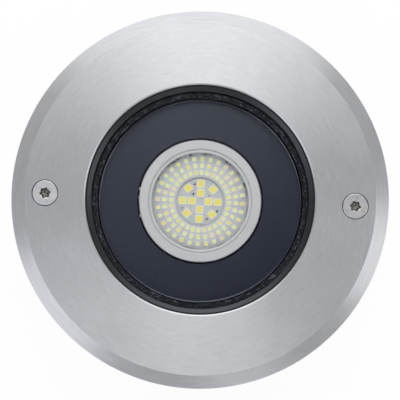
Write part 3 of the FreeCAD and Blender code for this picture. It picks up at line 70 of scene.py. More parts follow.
class Turned:
    """What a round CAD node measures at rest: its outer radius, its hole's radius, its bottom and top."""

    def __init__(self, node):
        reaches = [math.hypot(vert.co.x, vert.co.y) for vert in frame["nodes"][node].data.vertices]
        low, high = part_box(node)
        self.radius = millimetres(max(reaches))
        self.hole = millimetres(min(reaches))
        self.bottom = millimetres(low.z)
        self.top = millimetres(high.z)


BEZEL = Turned("bezel_ring")
SCREWS = Turned("bezel_screws")
GASKET = Turned("glass_gasket")
GLASS = Turned("glass_disc")
PLATE = Turned("gimbal_plate")
LAMP_RING = Turned("lamp_front_ring")
LENS = Turned("lamp_lens")
BOARD = Turned("led_board")
CENTRE_BOARD = Turned("led_centre_board")

# Bezel: its rim reaches down outside the pot's flange and slopes off at the top.
RIM_WIDTH = 7.7
SLOPE_WIDTH = 5.3
SLOPE_DROP = 2.0
OPENING_EDGE_WIDTH = 0.5
OPENING_EDGE_DROP = 0.2

# Bezel screws, how far each is turned, and the countersinks that they lie in.
SCREW_HEAD_RADIUS = 4.95
SCREW_HEAD_HEIGHT = 2.5
SCREW_SHANK_RADIUS = 2.5
SCREW_HOLE_CLEARANCE = 0.3
SCREW_AXIS = SCREWS.radius - SCREW_HEAD_RADIUS
LEFT = -1
RIGHT = 1
SCREW_TURNS = {LEFT: math.radians(14), RIGHT: math.radians(-9)}
SINK_RADIUS = 5.25
SOCKET_LOBES = 6
SOCKET_MOUTH_RADIUS = 2.20

# Coated lip in the pot's throat. Its foot lies in the wall.
LIP_FOOT_RADIUS = GASKET.hole + 0.2
LIP_EDGE_RADIUS = 41.45
LIP_TOP = GASKET.bottom - 0.1
LIP_HEIGHT = 3.2

# Plate, and the washers that its ears turn on.
PLATE_HOLE_RADIUS = LAMP_RING.radius + 0.45
WASHER_GAP = 0.04

# Lamp's ring and lens. A nub on the ring is (bearing in degrees, length).
LAMP_WINDOW_RADIUS = 21.2
RING_FIT_CLEARANCE = 0.1
RING_NUBS = ((170.9, 1.1), (179.2, 0.8), (196.3, 1.2))
NUB_RADIUS = 0.55
LENS_GROOVE_RADIUS = 19.3
LENS_RIM_RADIUS = 19.75
LENS_RIM_WIDTH = 1.23
LENS_RIM_HEIGHT = 0.82

# Lamp's boards: the radii between which each shows a printed ring or painted shade, and the small parts on
# the middle one. A part is (x, y, degrees turned, darkness).
INNER_PRINT = (10.3, 10.8)
OUTER_PRINT = (15.95, 16.25)
SHADED_EDGE = (18.9, 19.9)
SMALL_PART_SIZE = (0.95, 0.55, 0.4)
SMALL_PARTS = ((-2.5, 6.9, 20, 0.8), (-2.9, 2.9, 80, 1.0), (3.6, 2.35, 10, 0.35),
               (-7.1, -2.9, 0, 0.45), (7.1, -3.8, 70, 1.0), (3.0, -7.1, 30, 0.8))

# Lamp's chips. A ring of chips is (reach, count).
LARGE_CHIP_SIDE = 3.0
LARGE_CHIP_RINGS = ((3.35, 4), (7.25, 8))
SMALL_CHIP_LENGTH = 1.75
SMALL_CHIP_WIDTH = 1.45
SMALL_CHIP_RINGS = tuple((11.85 + 2.84 * ring, 32) for ring in range(3))
CHIP_WINDOW_DEPTH = 0.04
LAMP_TURN = math.radians(-0.7)

# Steps in a full turn.
ROUND_STEPS = 256
BOARD_STEPS = 128
SINK_STEPS = 96
SCREW_STEPS = 72

# Widths of the pieces' rounded edges.
USUAL_EDGE = 0.15
EDGES = {"bezel_ring": 0.12, "glass_disc": 0.6, "gimbal_plate": 0.35, "pivot_washers": 0.12,
         "mounting_sleeve": 0.5, "housing_body": 0.6, "lamp_shell": 0.25, "lampholder_base": 0.5,
         "lampholder_cap": 0.3, "lamp_base": 0.4, "terminal_block": 0.3, "gland_bodies": 0.3,
         "gland_dome_nuts": 0.4, "gland_locknuts": 0.25, "gland_seals": 0.3, "lamp_driver_board": 0.1,
         "holder_contacts": 0.06, "terminal_barrels": 0.2}

# Studio and camera, in metres.
AIM = Vector((0.0, 0.0, 0.148))
FLOOR_REACH = 3.0
LAMP_DISTANCE = 1.3
CAMERA_DISTANCE = 0.780
CAMERA_LEAN = math.radians(1.6)
CAMERA_ROLL = math.radians(2.48)
WIDTH_IN_VIEW = 0.15893

# CAD nodes that a finer piece already stands for.
REBUILT = set()


# ---------------------------------------------------------------- nodes

class Signal:
    """What a node gives out. Arithmetic on it adds Math nodes."""

    def __init__(self, nodes, socket):
        self.nodes = nodes
        self.socket = socket

    def maths(self, operation, *values):
        return self.nodes.node("ShaderNodeMath", {"operation": operation}, dict(enumerate(values)))

    def __add__(self, other):
        return self.maths("ADD", self, other)

    __radd__ = __add__

    def __sub__(self, other):
        return self.maths("SUBTRACT", self, other)

    def __rsub__(self, other):
        return self.maths("SUBTRACT", other, self)

    def __mul__(self, other):
        return self.maths("MULTIPLY", self, other)

    __rmul__ = __mul__

    def __pow__(self, other):
        return self.maths("POWER", self, other)

    def above(self, edge):
        return self.maths("GREATER_THAN", self, edge)

    def band(self, low, high):
        """1 between two lengths in millimetres, and 0 beyond them."""
        return self.above(low * MM) * (1 - self.above(high * MM))

    def faded(self, low, high):
        """0 below low, 1 above high, and straight in between."""
        return self.nodes.node("ShaderNodeMapRange", {"clamp": True},
                               {"Value": self, "From Min": low, "From Max": high,
                                "To Min": 0.0, "To Max": 1.0})


class Nodes:
    """A node tree, and the ways in which nodes are added to it."""

    def __init__(self, tree):
        self.tree = tree
        self.tree.nodes.clear()

    def feed(self, socket, value):
        if isinstance(value, Signal):
            self.tree.links.new(value.socket, socket)
        else:
            socket.default_value = value

    def node(self, kind, settings=None, sockets=None, out=0):
        """Adds a node: its settings come first, and then what its sockets get."""
        node = self.tree.nodes.new(kind)
        for name, value in (settings or {}).items():
            if name == "stops":
                ramp = node.color_ramp
                while len(ramp.elements) < len(value):
                    ramp.elements.new(0.5)
                for element, (position, colour) in zip(ramp.elements, value):
                    element.position = position
                    element.color = colour
            else:
                setattr(node, name, value)
        for socket, value in (sockets or {}).items():
            self.feed(node.inputs[socket], value)
        return None if out is None else Signal(self, node.outputs[out])

    def part(self, axis, place=None):
        """One of a place's three numbers."""
        return self.node("ShaderNodeSeparateXYZ", None, {0: place or self.place}, out=axis)

    def ray(self, kind):
        """1 for rays of this kind, and 0 for the others."""
        return self.node("ShaderNodeLightPath", out=kind)

    def blend(self, factor, first, second):
        """A shader between two shaders."""
        return self.node("ShaderNodeMixShader", None, {0: factor, 1: first, 2: second})


class Finish(Nodes):
    """A material. It shows its Principled shader unless show gives it another."""

    def __init__(self, name, **plain):
        self.material = bpy.data.materials.new(name)
        self.material.use_nodes = True
        super().__init__(self.material.node_tree)
        self.output = self.tree.nodes.new("ShaderNodeOutputMaterial")
        self.principled = self.tree.nodes.new("ShaderNodeBsdfPrincipled")
        self.show(self.shader())
        for name, value in plain.items():
            self.set(name.replace("_", " ").title().replace("Ior", "IOR"), value)
        self.place = self.node("ShaderNodeTexCoord", out="Object")

    def shader(self):
        return Signal(self, self.principled.outputs[0])

    def show(self, shader):
        self.feed(self.output.inputs["Surface"], shader)

    def set(self, socket, value):
        """Gives one of the Principled shader's sockets a plain value or a link."""
        self.feed(self.principled.inputs[socket], value)

    def noise(self, scale, detail=2.0, place=None, roughness=0.5, distortion=0.0):
        return self.node("ShaderNodeTexNoise", None,
                         {"Vector": place or self.place, "Scale": scale, "Detail": detail,
                          "Roughness": roughness, "Distortion": distortion})

    def mix(self, factor, first, second):
        """A colour between two colours."""
        return self.node("ShaderNodeMix", {"data_type": "RGBA"}, {0: factor, 6: first, 7: second}, out=2)

    def tint(self, colour, shade, spread):
        """The colour, up to spread darker or lighter, by a shade from 0 to 1."""
        low = [part * (1 - spread) for part in colour] + [1]
        high = [min(1.0, part * (1 + spread)) for part in colour] + [1]
        return self.mix(shade, low, high)

    def bump(self, height, depth, strength=1.0):
        """Depth is in metres for a height from 0 to 1."""
        self.set("Normal", self.node("ShaderNodeBump", None,
                                     {"Height": height, "Distance": depth, "Strength": strength}))

    def vector(self, x, y, z):
        return self.node("ShaderNodeCombineXYZ", None, {0: x, 1: y, 2: z})

    def attribute(self, name):
        """A number that the mesh's faces hold."""
        return self.node("ShaderNodeAttribute", {"attribute_name": name}, out="Fac")

    def radius(self):
        """How far a point is from the light's axis."""
        return (self.part(X) ** 2 + self.part(Y) ** 2) ** 0.5

    def screw_radius(self):
        """How far a point is from the axis of the bezel screw on its side."""
        along = self.node("ShaderNodeMath", {"operation": "ABSOLUTE"}, {0: self.part(X)})
        return ((along - SCREW_AXIS * MM) ** 2 + self.part(Y) ** 2) ** 0.5

    def bearing(self):
        """The angle round the light's axis."""
        return self.node("ShaderNodeMath", {"operation": "ARCTAN2"}, {0: self.part(Y), 1: self.part(X)})

    def skin(self, strength):
        """How much a clear surface mirrors: little seen square on, and more at a grazing angle."""
        facing = self.node("ShaderNodeLayerWeight", None, {"Blend": 0.5}, out="Facing")
        return facing ** 5 * 0.9 * strength + 0.04 * strength


# ---------------------------------------------------------------- finishes

def make_brushed_stainless():
    """Steel brushed in circles: fine rings that break up along the way round, and painted shade in the
    countersinks.
    """
    finish = Finish("brushed_stainless", metallic=1.0, anisotropic=0.72, anisotropic_rotation=0.25)
    radius = finish.radius()
    bearing = finish.bearing()
    height = finish.part(Z)
    rings = finish.noise(1.0, 3.0, finish.vector(radius * 7000, bearing * 6.0, height * 3000))
    streaks = finish.noise(1.0, 4.0, finish.vector(radius * 1300, bearing * 11.0, height * 900), 0.62)
    clouds = finish.noise(38.0)
    shade = rings * 0.5 + streaks * 0.35 + clouds * 0.15
    steel = finish.tint((0.612, 0.619, 0.640), shade.faded(0.32, 0.68), 0.12)
    shadow = (0.035, 0.035, 0.04, 1)
    # Painted shade: the countersinks round the screw heads are coloured dark.
    sink = 1 - finish.screw_radius().above((SINK_RADIUS + 0.02) * MM)
    finish.set("Base Color", finish.mix(sink, steel, shadow))
    finish.set("Roughness", 0.27 + rings * 0.10 + clouds * 0.04)
    finish.bump(rings * 0.7 + streaks * 0.3, 0.006 * MM, 0.5)
    return finish.material


def make_screw_stainless():
    """Bright turned steel, with rings round each screw's own axis, and painted shade down in the socket."""
    finish = Finish("screw_stainless", metallic=1.0)
    radius = finish.screw_radius()
    height = finish.part(Z)
    rings = finish.noise(1.0, 3.0, finish.vector(radius * 7000, 0.0, height * 4000))
    clouds = finish.noise(420.0, 3.0)
    steel = finish.tint((0.66, 0.66, 0.685), rings * 0.6 + clouds * 0.4, 0.14)
    # Painted shade: the socket is coloured dark, most of all towards its bottom.
    socket_shade = (0.09, 0.09, 0.06, 1)
    deep = 1 - height.faded((BEZEL.top - 1.8) * MM, (BEZEL.top - 0.4) * MM)
    socket = deep * (1 - radius.above((SOCKET_MOUTH_RADIUS + 0.1) * MM))
    finish.set("Base Color", finish.mix(socket * (0.75 + clouds * 0.25), steel, socket_shade))
    finish.set("Roughness", 0.22 + clouds * 0.16)
    finish.bump(rings, 0.008 * MM, 0.5)
    return finish.material


def make_clear_glass():
    """Clear glass: see-through, with a mirror-like skin that faint wiping marks break up."""
    finish = Finish("clear_glass")
    finish.tree.nodes.remove(finish.principled)
    smears = finish.noise(26.0, 3.0)
    clear = finish.node("ShaderNodeBsdfTransparent", None, {"Color": (0.985, 0.987, 0.99, 1)})
    mirror = finish.node("ShaderNodeBsdfGlossy", None, {"Color": (1, 1, 1, 1), "Roughness": 0.02})
    skin = finish.skin(0.15) * (0.9 + smears * 0.2)
    finish.show(finish.blend(skin, clear, mirror))
    return finish.material


def make_black_rubber():
    """Shiny black rubber with a fine grain and a trace of dust."""
    finish = Finish("black_rubber", specular_ior_level=0.77, specular_tint=(0.88, 0.90, 1.0, 1))
    grain = finish.noise(900.0, 3.0)
    dust = finish.noise(60.0, 4.0)
    finish.set("Base Color", finish.tint((0.005, 0.0055, 0.007), dust, 0.35))
    finish.set("Roughness", 0.24 + grain * 0.12)
    finish.bump(grain, 0.01 * MM, 0.4)
    return finish.material


def make_housing_coat():
    """Black wrinkle coat: small bent folds, with painted highlights on their tops and painted shade in their
    valleys, strongest in the throat.
    """
    finish = Finish("housing_coat", specular_ior_level=0.22, specular_tint=(0.85, 0.90, 1.0, 1))
    folds = finish.noise(760.0, 1.0, distortion=1.2).faded(0.56, 0.61)
    grain = finish.noise(2600.0)
    inside = 1 - finish.radius().above((LIP_FOOT_RADIUS + 0.1) * MM)
    throat = inside * finish.part(Z).above((LIP_TOP - LIP_HEIGHT - 0.2) * MM)
    # Painted shade in the valleys and painted highlight on the crests. The throat gets more of both.
    valley_shade = (0.003, 0.0033, 0.005, 1)
    crest_highlight = (0.15, 0.158, 0.195, 1)
    height = folds * 0.85 + grain * 0.15
    finish.set("Base Color", finish.mix(height * (0.28 + throat * 0.72), valley_shade, crest_highlight))
    finish.set("Roughness", 0.34 + grain * 0.16)
    finish.bump(folds + grain * 0.15, 0.28 * MM, 0.9)
    return finish.material


def make_plate_paint():
    """Dark blue-grey satin paint, a little uneven in shade and in shine."""
    finish = Finish("plate_paint", specular_ior_level=0.97, specular_tint=(0.80, 0.87, 1.0, 1))
    clouds = finish.noise(30.0, 3.0)
    finish.set("Base Color", finish.tint((0.011, 0.0135, 0.032), clouds, 0.14))
    finish.set("Roughness", 0.19 + clouds * 0.07)
    return finish.material


def make_satin_metal(name, colour, roughness, grain_scale):
    """Blasted or painted satin silver."""
    finish = Finish(name, metallic=0.35)
    grain = finish.noise(grain_scale, 3.0)
    clouds = finish.noise(55.0, 3.0)
    finish.set("Base Color", finish.tint(colour, grain * 0.4 + clouds * 0.6, 0.09))
    finish.set("Roughness", roughness + grain * 0.12)
    finish.bump(grain, 0.012 * MM, 0.4)
    return finish.material


def make_lens_plastic():
    """Clear lens: almost nothing but its skin, with a moulded groove painted dark as its shade and a rim
    painted bright as its highlight.
    """
    finish = Finish("lens_plastic")
    radius = finish.radius()
    flow = finish.noise(160.0)
    rim = radius.above(LENS_RIM_RADIUS * MM)
    groove = radius.band(LENS_GROOVE_RADIUS + 0.05, LENS_RIM_RADIUS)
    # Painted shade in the groove, and a painted highlight on the rim, which is made opaque.
    dark = (0.14, 0.15, 0.14, 1)
    bright = finish.tint((0.95, 0.955, 0.96), flow, 0.05)
    finish.set("Base Color", finish.mix(rim, dark, bright))
    finish.set("Roughness", 0.12 + flow * 0.10)
    clear = finish.node("ShaderNodeBsdfTransparent", None, {"Color": (0.99, 0.995, 0.995, 1)})
    cover = finish.skin(0.3) + rim * 0.9 + groove * flow.faded(0.42, 0.62) * 0.35
    finish.show(finish.blend(cover, clear, finish.shader()))
    return finish.material


def make_board_white():
    """Pale solder mask, lilac with cool patches, two printed rings, painted shade at its upper edges, and
    small parts where the attribute 'part' is above 0."""
    finish = Finish("board_white", specular_ior_level=0.5)
    radius = finish.radius()
    upward = finish.part(Y)
    clouds = finish.noise(430.0)
    patches = finish.noise(210.0, place=finish.vector(finish.part(X) + 0.3, upward, finish.part(Z)))
    lilac = finish.tint((0.88, 0.855, 0.91), clouds.faded(0.3, 0.7), 0.07)
    cool = (0.85, 0.91, 0.92, 1)
    mask = finish.mix(patches.faded(0.45, 0.62), lilac, cool)

    prints = radius.band(*INNER_PRINT) + radius.band(*OUTER_PRINT) * 0.45
    printed = finish.mix(prints, mask, (0.95, 0.95, 0.96, 1))

    # Painted shade: dark patches along the board's upper edge, and a dark arc at the middle board's upper
    # edge.
    edge = radius.band(*SHADED_EDGE) * finish.noise(420.0).faded(0.46, 0.60)
    step = radius.band(CENTRE_BOARD.radius - 0.5, CENTRE_BOARD.radius)
    marks = (edge * 0.8 + step * 0.6) * upward.faded(0.0, 8 * MM)
    with_shade = finish.mix(marks, printed, (0.10, 0.11, 0.12, 1))

    finish.set("Base Color", finish.mix(finish.attribute("part"), with_shade, (0.05, 0.05, 0.06, 1)))
    finish.set("Roughness", 0.34 + clouds * 0.2)
    return finish.material


def make_led_phosphor():
    """Chips: a pale body, and a yellow window where the attribute 'window' is 1. Body and window also
    glow faintly in their own colour, which is painted light."""
    # Painted light: the chips give a faint glow of their own colour.
    finish = Finish("led_phosphor", specular_ior_level=0.5, emission_strength=0.30)
    grain = finish.noise(5200.0)
    body = finish.tint((0.97, 0.96, 0.80), grain, 0.05)
    green_to_pink = [
        (0.0, (0.86, 0.94, 0.40, 1)),
        (0.25, (0.97, 0.94, 0.42, 1)),
        (0.5, (1.0, 0.86, 0.16, 1)),
        (0.8, (1.0, 0.82, 0.28, 1)),
        (1.0, (1.0, 0.76, 0.55, 1)),
    ]
    yellow = finish.node("ShaderNodeValToRGB", {"stops": green_to_pink}, {0: finish.attribute("warmth")})
    colour = finish.mix(finish.attribute("window"), body, yellow)
    finish.set("Base Color", colour)
    finish.set("Emission Color", colour)
    finish.set("Roughness", 0.28 + grain * 0.15)
    return finish.material


def make_plain(name, colour, roughness, spread, scale, depth=0.01, **plain):
    """A moulded, cast or plated finish: slight shade, roughness and surface grain."""
    finish = Finish(name, **plain)
    grain = finish.noise(scale, 3.0)
    clouds = finish.noise(scale * 0.08, 3.0)
    finish.set("Base Color", finish.tint(colour, grain * 0.4 + clouds * 0.6, spread))
    finish.set("Roughness", roughness + grain * 0.12)
    finish.bump(grain, depth * MM, 0.5)
    return finish.material


FINISHES = {
    "brushed_stainless": make_brushed_stainless(),
    "screw_stainless": make_screw_stainless(),
    "clear_glass": make_clear_glass(),
    "black_rubber": make_black_rubber(),
    "housing_coat": make_housing_coat(),
    "plate_paint": make_plate_paint(),
    "lamp_ring_metal": make_satin_metal("lamp_ring_metal", (0.78, 0.78, 0.79), 0.34, 1600.0),
    "lamp_metal": make_satin_metal("lamp_metal", (0.66, 0.67, 0.68), 0.42, 900.0),
    "lens_plastic": make_lens_plastic(),
    "board_white": make_board_white(),
    "led_phosphor": make_led_phosphor(),
    "sleeve_plastic": make_plain("sleeve_plastic", (0.030, 0.031, 0.033), 0.48, 0.22, 1300.0, 0.03),
    "gland_nylon": make_plain("gland_nylon", (0.026, 0.026, 0.028), 0.40, 0.20, 1500.0, 0.02),
    "terminal_nylon": make_plain("terminal_nylon", (0.74, 0.73, 0.68), 0.42, 0.06, 900.0),
    "insert_brass": make_plain("insert_brass", (0.72, 0.52, 0.22), 0.26, 0.12, 1200.0, metallic=1.0),
    "zinc_steel": make_plain("zinc_steel", (0.60, 0.61, 0.60), 0.30, 0.16, 500.0, metallic=1.0),
    "spring_steel": make_plain("spring_steel", (0.42, 0.42, 0.43), 0.34, 0.14, 800.0, metallic=1.0),
    "holder_ceramic": make_plain("holder_ceramic", (0.80, 0.78, 0.72), 0.52, 0.05, 1400.0, 0.03),
    "circuit_green": make_plain("circuit_green", (0.035, 0.20, 0.085), 0.34, 0.20, 700.0),
    "lamp_base_plastic": make_plain("lamp_base_plastic", (0.78, 0.78, 0.75), 0.30, 0.05, 1100.0),
    "pin_metal": make_plain("pin_metal", (0.70, 0.68, 0.64), 0.20, 0.10, 900.0, metallic=1.0),
}


def paint_cad_nodes():
    """Gives every CAD node the finish of its slot."""
    for name, node in frame["nodes"].items():
        node.data.materials.clear()
        node.data.materials.append(FINISHES[SLOT_OF[name]])


# ---------------------------------------------------------------- shaping

def turned_place(bearing, reach, height):
    """Takes a thing made at the origin out by reach, up by height and round the axis by the bearing."""
    return Matrix.Rotation(bearing, 4, "Z") @ Matrix.Translation((reach * MM, 0, height * MM))


def is_sharp(edge, angle):
    return len(edge.link_faces) == 2 and edge.calc_face_angle(0.0) > angle


def soften(mesh, width, steps=3, angle=30):
    """Rounds the sharp edges of a mesh."""
    edges = [edge for edge in mesh.edges if is_sharp(edge, math.radians(angle))]
    bmesh.ops.bevel(mesh, geom=edges, offset=width * MM, offset_type="OFFSET", segments=steps,
                    profile=0.5, affect="EDGES", material=-1, clamp_overlap=True)


def arc(middle, across, up, first, last, steps=4):
    """Points of an outline on an ellipse round its middle, from first to last degrees."""
    turns = [math.radians(first + (last - first) * step / steps) for step in range(steps + 1)]
    return [(middle[0] + across * math.cos(turn), middle[1] + up * math.sin(turn)) for turn in turns]


def spun(outline, steps=ROUND_STEPS, offset=0.0):
    """A closed outline of (radius, height) turned about its upright axis, which stands at offset on X."""
    mesh = bmesh.new()
    corners = [mesh.verts.new((radius * MM, 0, height * MM)) for radius, height in outline]
    sides = [mesh.edges.new((corner, corners[(index + 1) % len(corners)]))
             for index, corner in enumerate(corners)]
    bmesh.ops.spin(mesh, geom=corners + sides, cent=(0, 0, 0), axis=(0, 0, 1), dvec=(0, 0, 0),
                   angle=FULL_TURN, steps=steps, use_merge=True, use_duplicate=False)
    bmesh.ops.remove_doubles(mesh, verts=mesh.verts, dist=0.0001 * MM)
    bmesh.ops.translate(mesh, verts=mesh.verts, vec=(offset * MM, 0, 0))
    bmesh.ops.recalc_face_normals(mesh, faces=mesh.faces)
    return mesh


def add_block(mesh, size):
    """Adds a block round the origin, and gives its points."""
    made = bmesh.ops.create_cube(mesh, size=1.0)["verts"]
    bmesh.ops.transform(mesh, verts=made, matrix=Matrix.Diagonal([side * MM for side in size] + [1]))
    return made


def mesh_data(name, mesh):
    """Turns the bmesh into mesh data."""
    data = bpy.data.meshes.new(name)
    mesh.to_mesh(data)
    mesh.free()
    return data


def add_object(name, data):
    """Puts mesh data, a light or a camera into the scene."""
    thing = bpy.data.objects.new(name, data)
    bpy.context.scene.collection.objects.link(thing)
    return thing


def cut_away(mesh, tools):
    """The mesh less each of the tools."""
    body = add_object("body", mesh_data("body", mesh))
    helpers = [add_object("tool", mesh_data("tool", tool)) for tool in tools]
    for helper in helpers:
        cutter = body.modifiers.new("cut", "BOOLEAN")
        cutter.operation = "DIFFERENCE"
        cutter.solver = "EXACT"
        cutter.object = helper
    bpy.context.view_layer.update()
    cut = bpy.data.meshes.new_from_object(body.evaluated_get(bpy.context.evaluated_depsgraph_get()))
    for thing in [body] + helpers:
        bpy.data.objects.remove(thing)
    result = bmesh.new()
    result.from_mesh(cut)
    bmesh.ops.remove_doubles(result, verts=result.verts, dist=0.0001 * MM)
    return result


def shade(mesh, smooth):
    """Smooth where the surface bends by less than smooth degrees. An edge between a wide and a narrow
    face stays sharp, so that a rounded border doesn't bend the light on the flat beside it, unless the
    surface hardly bends there. Nearly flat is in radians."""
    nearly_flat = 0.035
    much_wider = 6
    for face in mesh.faces:
        face.smooth = True
    for edge in mesh.edges:
        if len(edge.link_faces) != 2:
            continue
        angle = edge.calc_face_angle(0.0)
        narrow, wide = sorted(face.calc_area() for face in edge.link_faces)
        edge.smooth = angle < math.radians(smooth) and (angle < nearly_flat or wide < much_wider * narrow)


def finish_piece(mesh, name, node, smooth=35, instead=True):
    """Makes the mesh a piece with the finish and the body of a CAD node. It stands instead of the node,
    or is added to it."""
    bmesh.ops.recalc_face_normals(mesh, faces=mesh.faces)
    shade(mesh, smooth)
    piece = add_object(name, mesh_data(name, mesh))
    piece.data.materials.append(FINISHES[SLOT_OF[node]])
    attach(piece, BODY_OF[node])
    if instead:
        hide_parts(node)
        REBUILT.add(node)


def cad_copy(node):
    """The CAD node's surface as one merged mesh."""
    mesh = bmesh.new()
    mesh.from_mesh(frame["nodes"][node].data)
    bmesh.ops.remove_doubles(mesh, verts=mesh.verts, dist=0.001 * MM)
    bmesh.ops.dissolve_limit(mesh, angle_limit=math.radians(0.3), use_dissolve_boundaries=False,
                             verts=mesh.verts, edges=mesh.edges, delimit=set())
    return mesh


# ---------------------------------------------------------------- cover

def make_bezel():
    """Bezel with crisp broken edges, a sloped rim and two countersinks."""
    underside = GASKET.top
    rebate = BEZEL.radius - RIM_WIDTH
    ring = spun([(BEZEL.hole, underside), (rebate, underside), (rebate, BEZEL.bottom),
                 (BEZEL.radius, BEZEL.bottom), (BEZEL.radius, BEZEL.top - SLOPE_DROP),
                 (BEZEL.radius - SLOPE_WIDTH, BEZEL.top), (BEZEL.hole + OPENING_EDGE_WIDTH, BEZEL.top),
                 (BEZEL.hole, BEZEL.top - OPENING_EDGE_DROP)])
    hole = SCREW_SHANK_RADIUS + SCREW_HOLE_CLEARANCE
    beyond = BEZEL.top + 1
    sink = [(0, BEZEL.bottom), (hole, BEZEL.bottom), (hole, SCREWS.top - SCREW_HEAD_HEIGHT),
            (SINK_RADIUS, SCREWS.top), (SINK_RADIUS, beyond), (0, beyond)]
    mesh = cut_away(ring, [spun(sink, SINK_STEPS, side * SCREW_AXIS) for side in SCREW_TURNS])
    soften(mesh, EDGES["bezel_ring"], angle=40)
    finish_piece(mesh, "bezel_detailed", "bezel_ring", 19)


def lobed_circle(mesh, radius, depth, height):
    """A ring of points whose distance from the middle swings in and out by depth."""
    points = bmesh.ops.create_circle(mesh, cap_ends=False, radius=radius * MM, segments=SCREW_STEPS)["verts"]
    for point in points:
        bearing = math.atan2(point.co.y, point.co.x)
        reach = 1 + depth / radius * math.cos(SOCKET_LOBES * bearing)
        point.co = Vector((point.co.x * reach, point.co.y * reach, height * MM))
    return points


def ring_edges(points):
    """The edges between neighbours in a ring of points."""
    held = set(points)
    return list({edge for point in points for edge in point.link_edges if edge.other_vert(point) in held})


def close_ring(mesh, ring, height):
    """Closes a ring with a cone to a point on the axis."""
    cone = bmesh.ops.extrude_edge_only(mesh, edges=ring_edges(ring))["geom"]
    tip = [item for item in cone if isinstance(item, bmesh.types.BMVert)]
    bmesh.ops.pointmerge(mesh, verts=tip, merge_co=(0, 0, height * MM))


def make_bezel_screw():
    """A countersunk screw with a six-lobe socket, on the axis. Its section is (radius, lobes, height)."""
    face = BEZEL.top
    section = (
        (1.15, 0.12, face - 2.05),
        (1.50, 0.20, face - 1.90),
        (1.86, 0.26, face - 0.34),
        (2.00, 0.22, face - 0.13),
        (SOCKET_MOUTH_RADIUS, 0.10, face - 0.095),
        (SCREW_HEAD_RADIUS - 0.17, 0.0, face - 0.08),
        (SCREW_HEAD_RADIUS, 0.0, face - 0.14),
        (SCREW_HEAD_RADIUS + 0.05, 0.0, face - 0.28),
        (SCREW_SHANK_RADIUS, 0.0, face - 2.70),
        (SCREW_SHANK_RADIUS, 0.0, SCREWS.bottom),
    )
    mesh = bmesh.new()
    rings = [lobed_circle(mesh, radius, depth, height) for radius, depth, height in section]
    for near, far in zip(rings, rings[1:]):
        bmesh.ops.bridge_loops(mesh, edges=ring_edges(near) + ring_edges(far))
    close_ring(mesh, rings[0], face - 2.40)
    close_ring(mesh, rings[-1], SCREWS.bottom)
    return mesh


def make_bezel_screws():
    """The two bezel screws, each turned as it came to rest."""
    both = bmesh.new()
    for side, turn in SCREW_TURNS.items():
        mesh = make_bezel_screw()
        mesh.transform(Matrix.Translation((side * SCREW_AXIS * MM, 0, 0))
                       @ Matrix.Rotation(turn, 4, "Z"))
        data = mesh_data("screw", mesh)
        both.from_mesh(data)
        bpy.data.meshes.remove(data)
    finish_piece(both, "bezel_screws_lobed", "bezel_screws", 40)


def make_gasket():
    """Rubber channel whose upper lip slopes in to the glass, with a fine gap before the bezel."""
    lip = GASKET.hole
    groove = GLASS.radius + 0.1
    outline = [
        (lip, GASKET.bottom + 0.4), (lip + 0.2, GASKET.bottom), (GASKET.radius, GASKET.bottom),
        (GASKET.radius, GASKET.top - 0.3), (GASKET.radius - 0.3, GASKET.top),
        (BEZEL.hole + 0.05, GASKET.top), (BEZEL.hole - 0.05, GASKET.top - 0.45),
        (BEZEL.hole - 0.3, GASKET.top - 0.45), (BEZEL.hole - 0.45, GASKET.top - 0.2),
        (BEZEL.hole - 0.65, GASKET.top - 0.18), *arc((lip + 0.3, GLASS.top), 0.3, 0.76, 90, 180),
        (groove, GLASS.top), (groove, GLASS.bottom), (lip, GLASS.bottom),
    ]
    finish_piece(spun(outline), "gasket_beaded", "glass_gasket", 50)


def make_throat_lip():
    """The sloped, coated lip that shows between the gasket and the plate."""
    outline = [(LIP_FOOT_RADIUS, LIP_TOP), (LIP_FOOT_RADIUS - 0.25, LIP_TOP),
               (LIP_EDGE_RADIUS + 0.1, LIP_TOP - 1.5), (LIP_EDGE_RADIUS, LIP_TOP - 1.7),
               (LIP_EDGE_RADIUS + 0.15, LIP_TOP - 1.9), (LIP_FOOT_RADIUS, LIP_TOP - LIP_HEIGHT)]
    finish_piece(spun(outline), "throat_lip", "housing_body", 40, instead=False)


def make_glass():
    """The glass disc with polished edges."""
    mesh = spun([(0, GLASS.bottom), (GLASS.radius, GLASS.bottom), (GLASS.radius, GLASS.top), (0, GLASS.top)])
    soften(mesh, EDGES["glass_disc"])
    finish_piece(mesh, "glass_polished", "glass_disc", 30)


# ---------------------------------------------------------------- lamp

def make_lamp_ring():
    """Silver ring with rounded edges, and three small nubs on its left where it was cut from its feed."""
    skirt = LENS.radius + RING_FIT_CLEARANCE
    edge = LAMP_RING.radius
    top = LAMP_RING.top
    mesh = spun([(LAMP_WINDOW_RADIUS, LENS.top), (skirt, LENS.top), (skirt, LAMP_RING.bottom),
                 (edge, LAMP_RING.bottom), *arc((edge - 0.5, top - 0.5), 0.5, 0.5, 0, 90),
                 *arc((LAMP_WINDOW_RADIUS + 0.3, top - 0.2), 0.3, 0.2, 90, 180)])
    for bearing, length in RING_NUBS:
        nub = bmesh.ops.create_icosphere(mesh, subdivisions=2, radius=NUB_RADIUS * MM)["verts"]
        place = turned_place(math.radians(bearing), edge + 0.05, top - 0.6)
        bmesh.ops.transform(mesh, verts=nub, matrix=place @ Matrix.Diagonal((0.9, length, 0.8, 1)))
    finish_piece(mesh, "lamp_ring_rounded", "lamp_front_ring", 40)


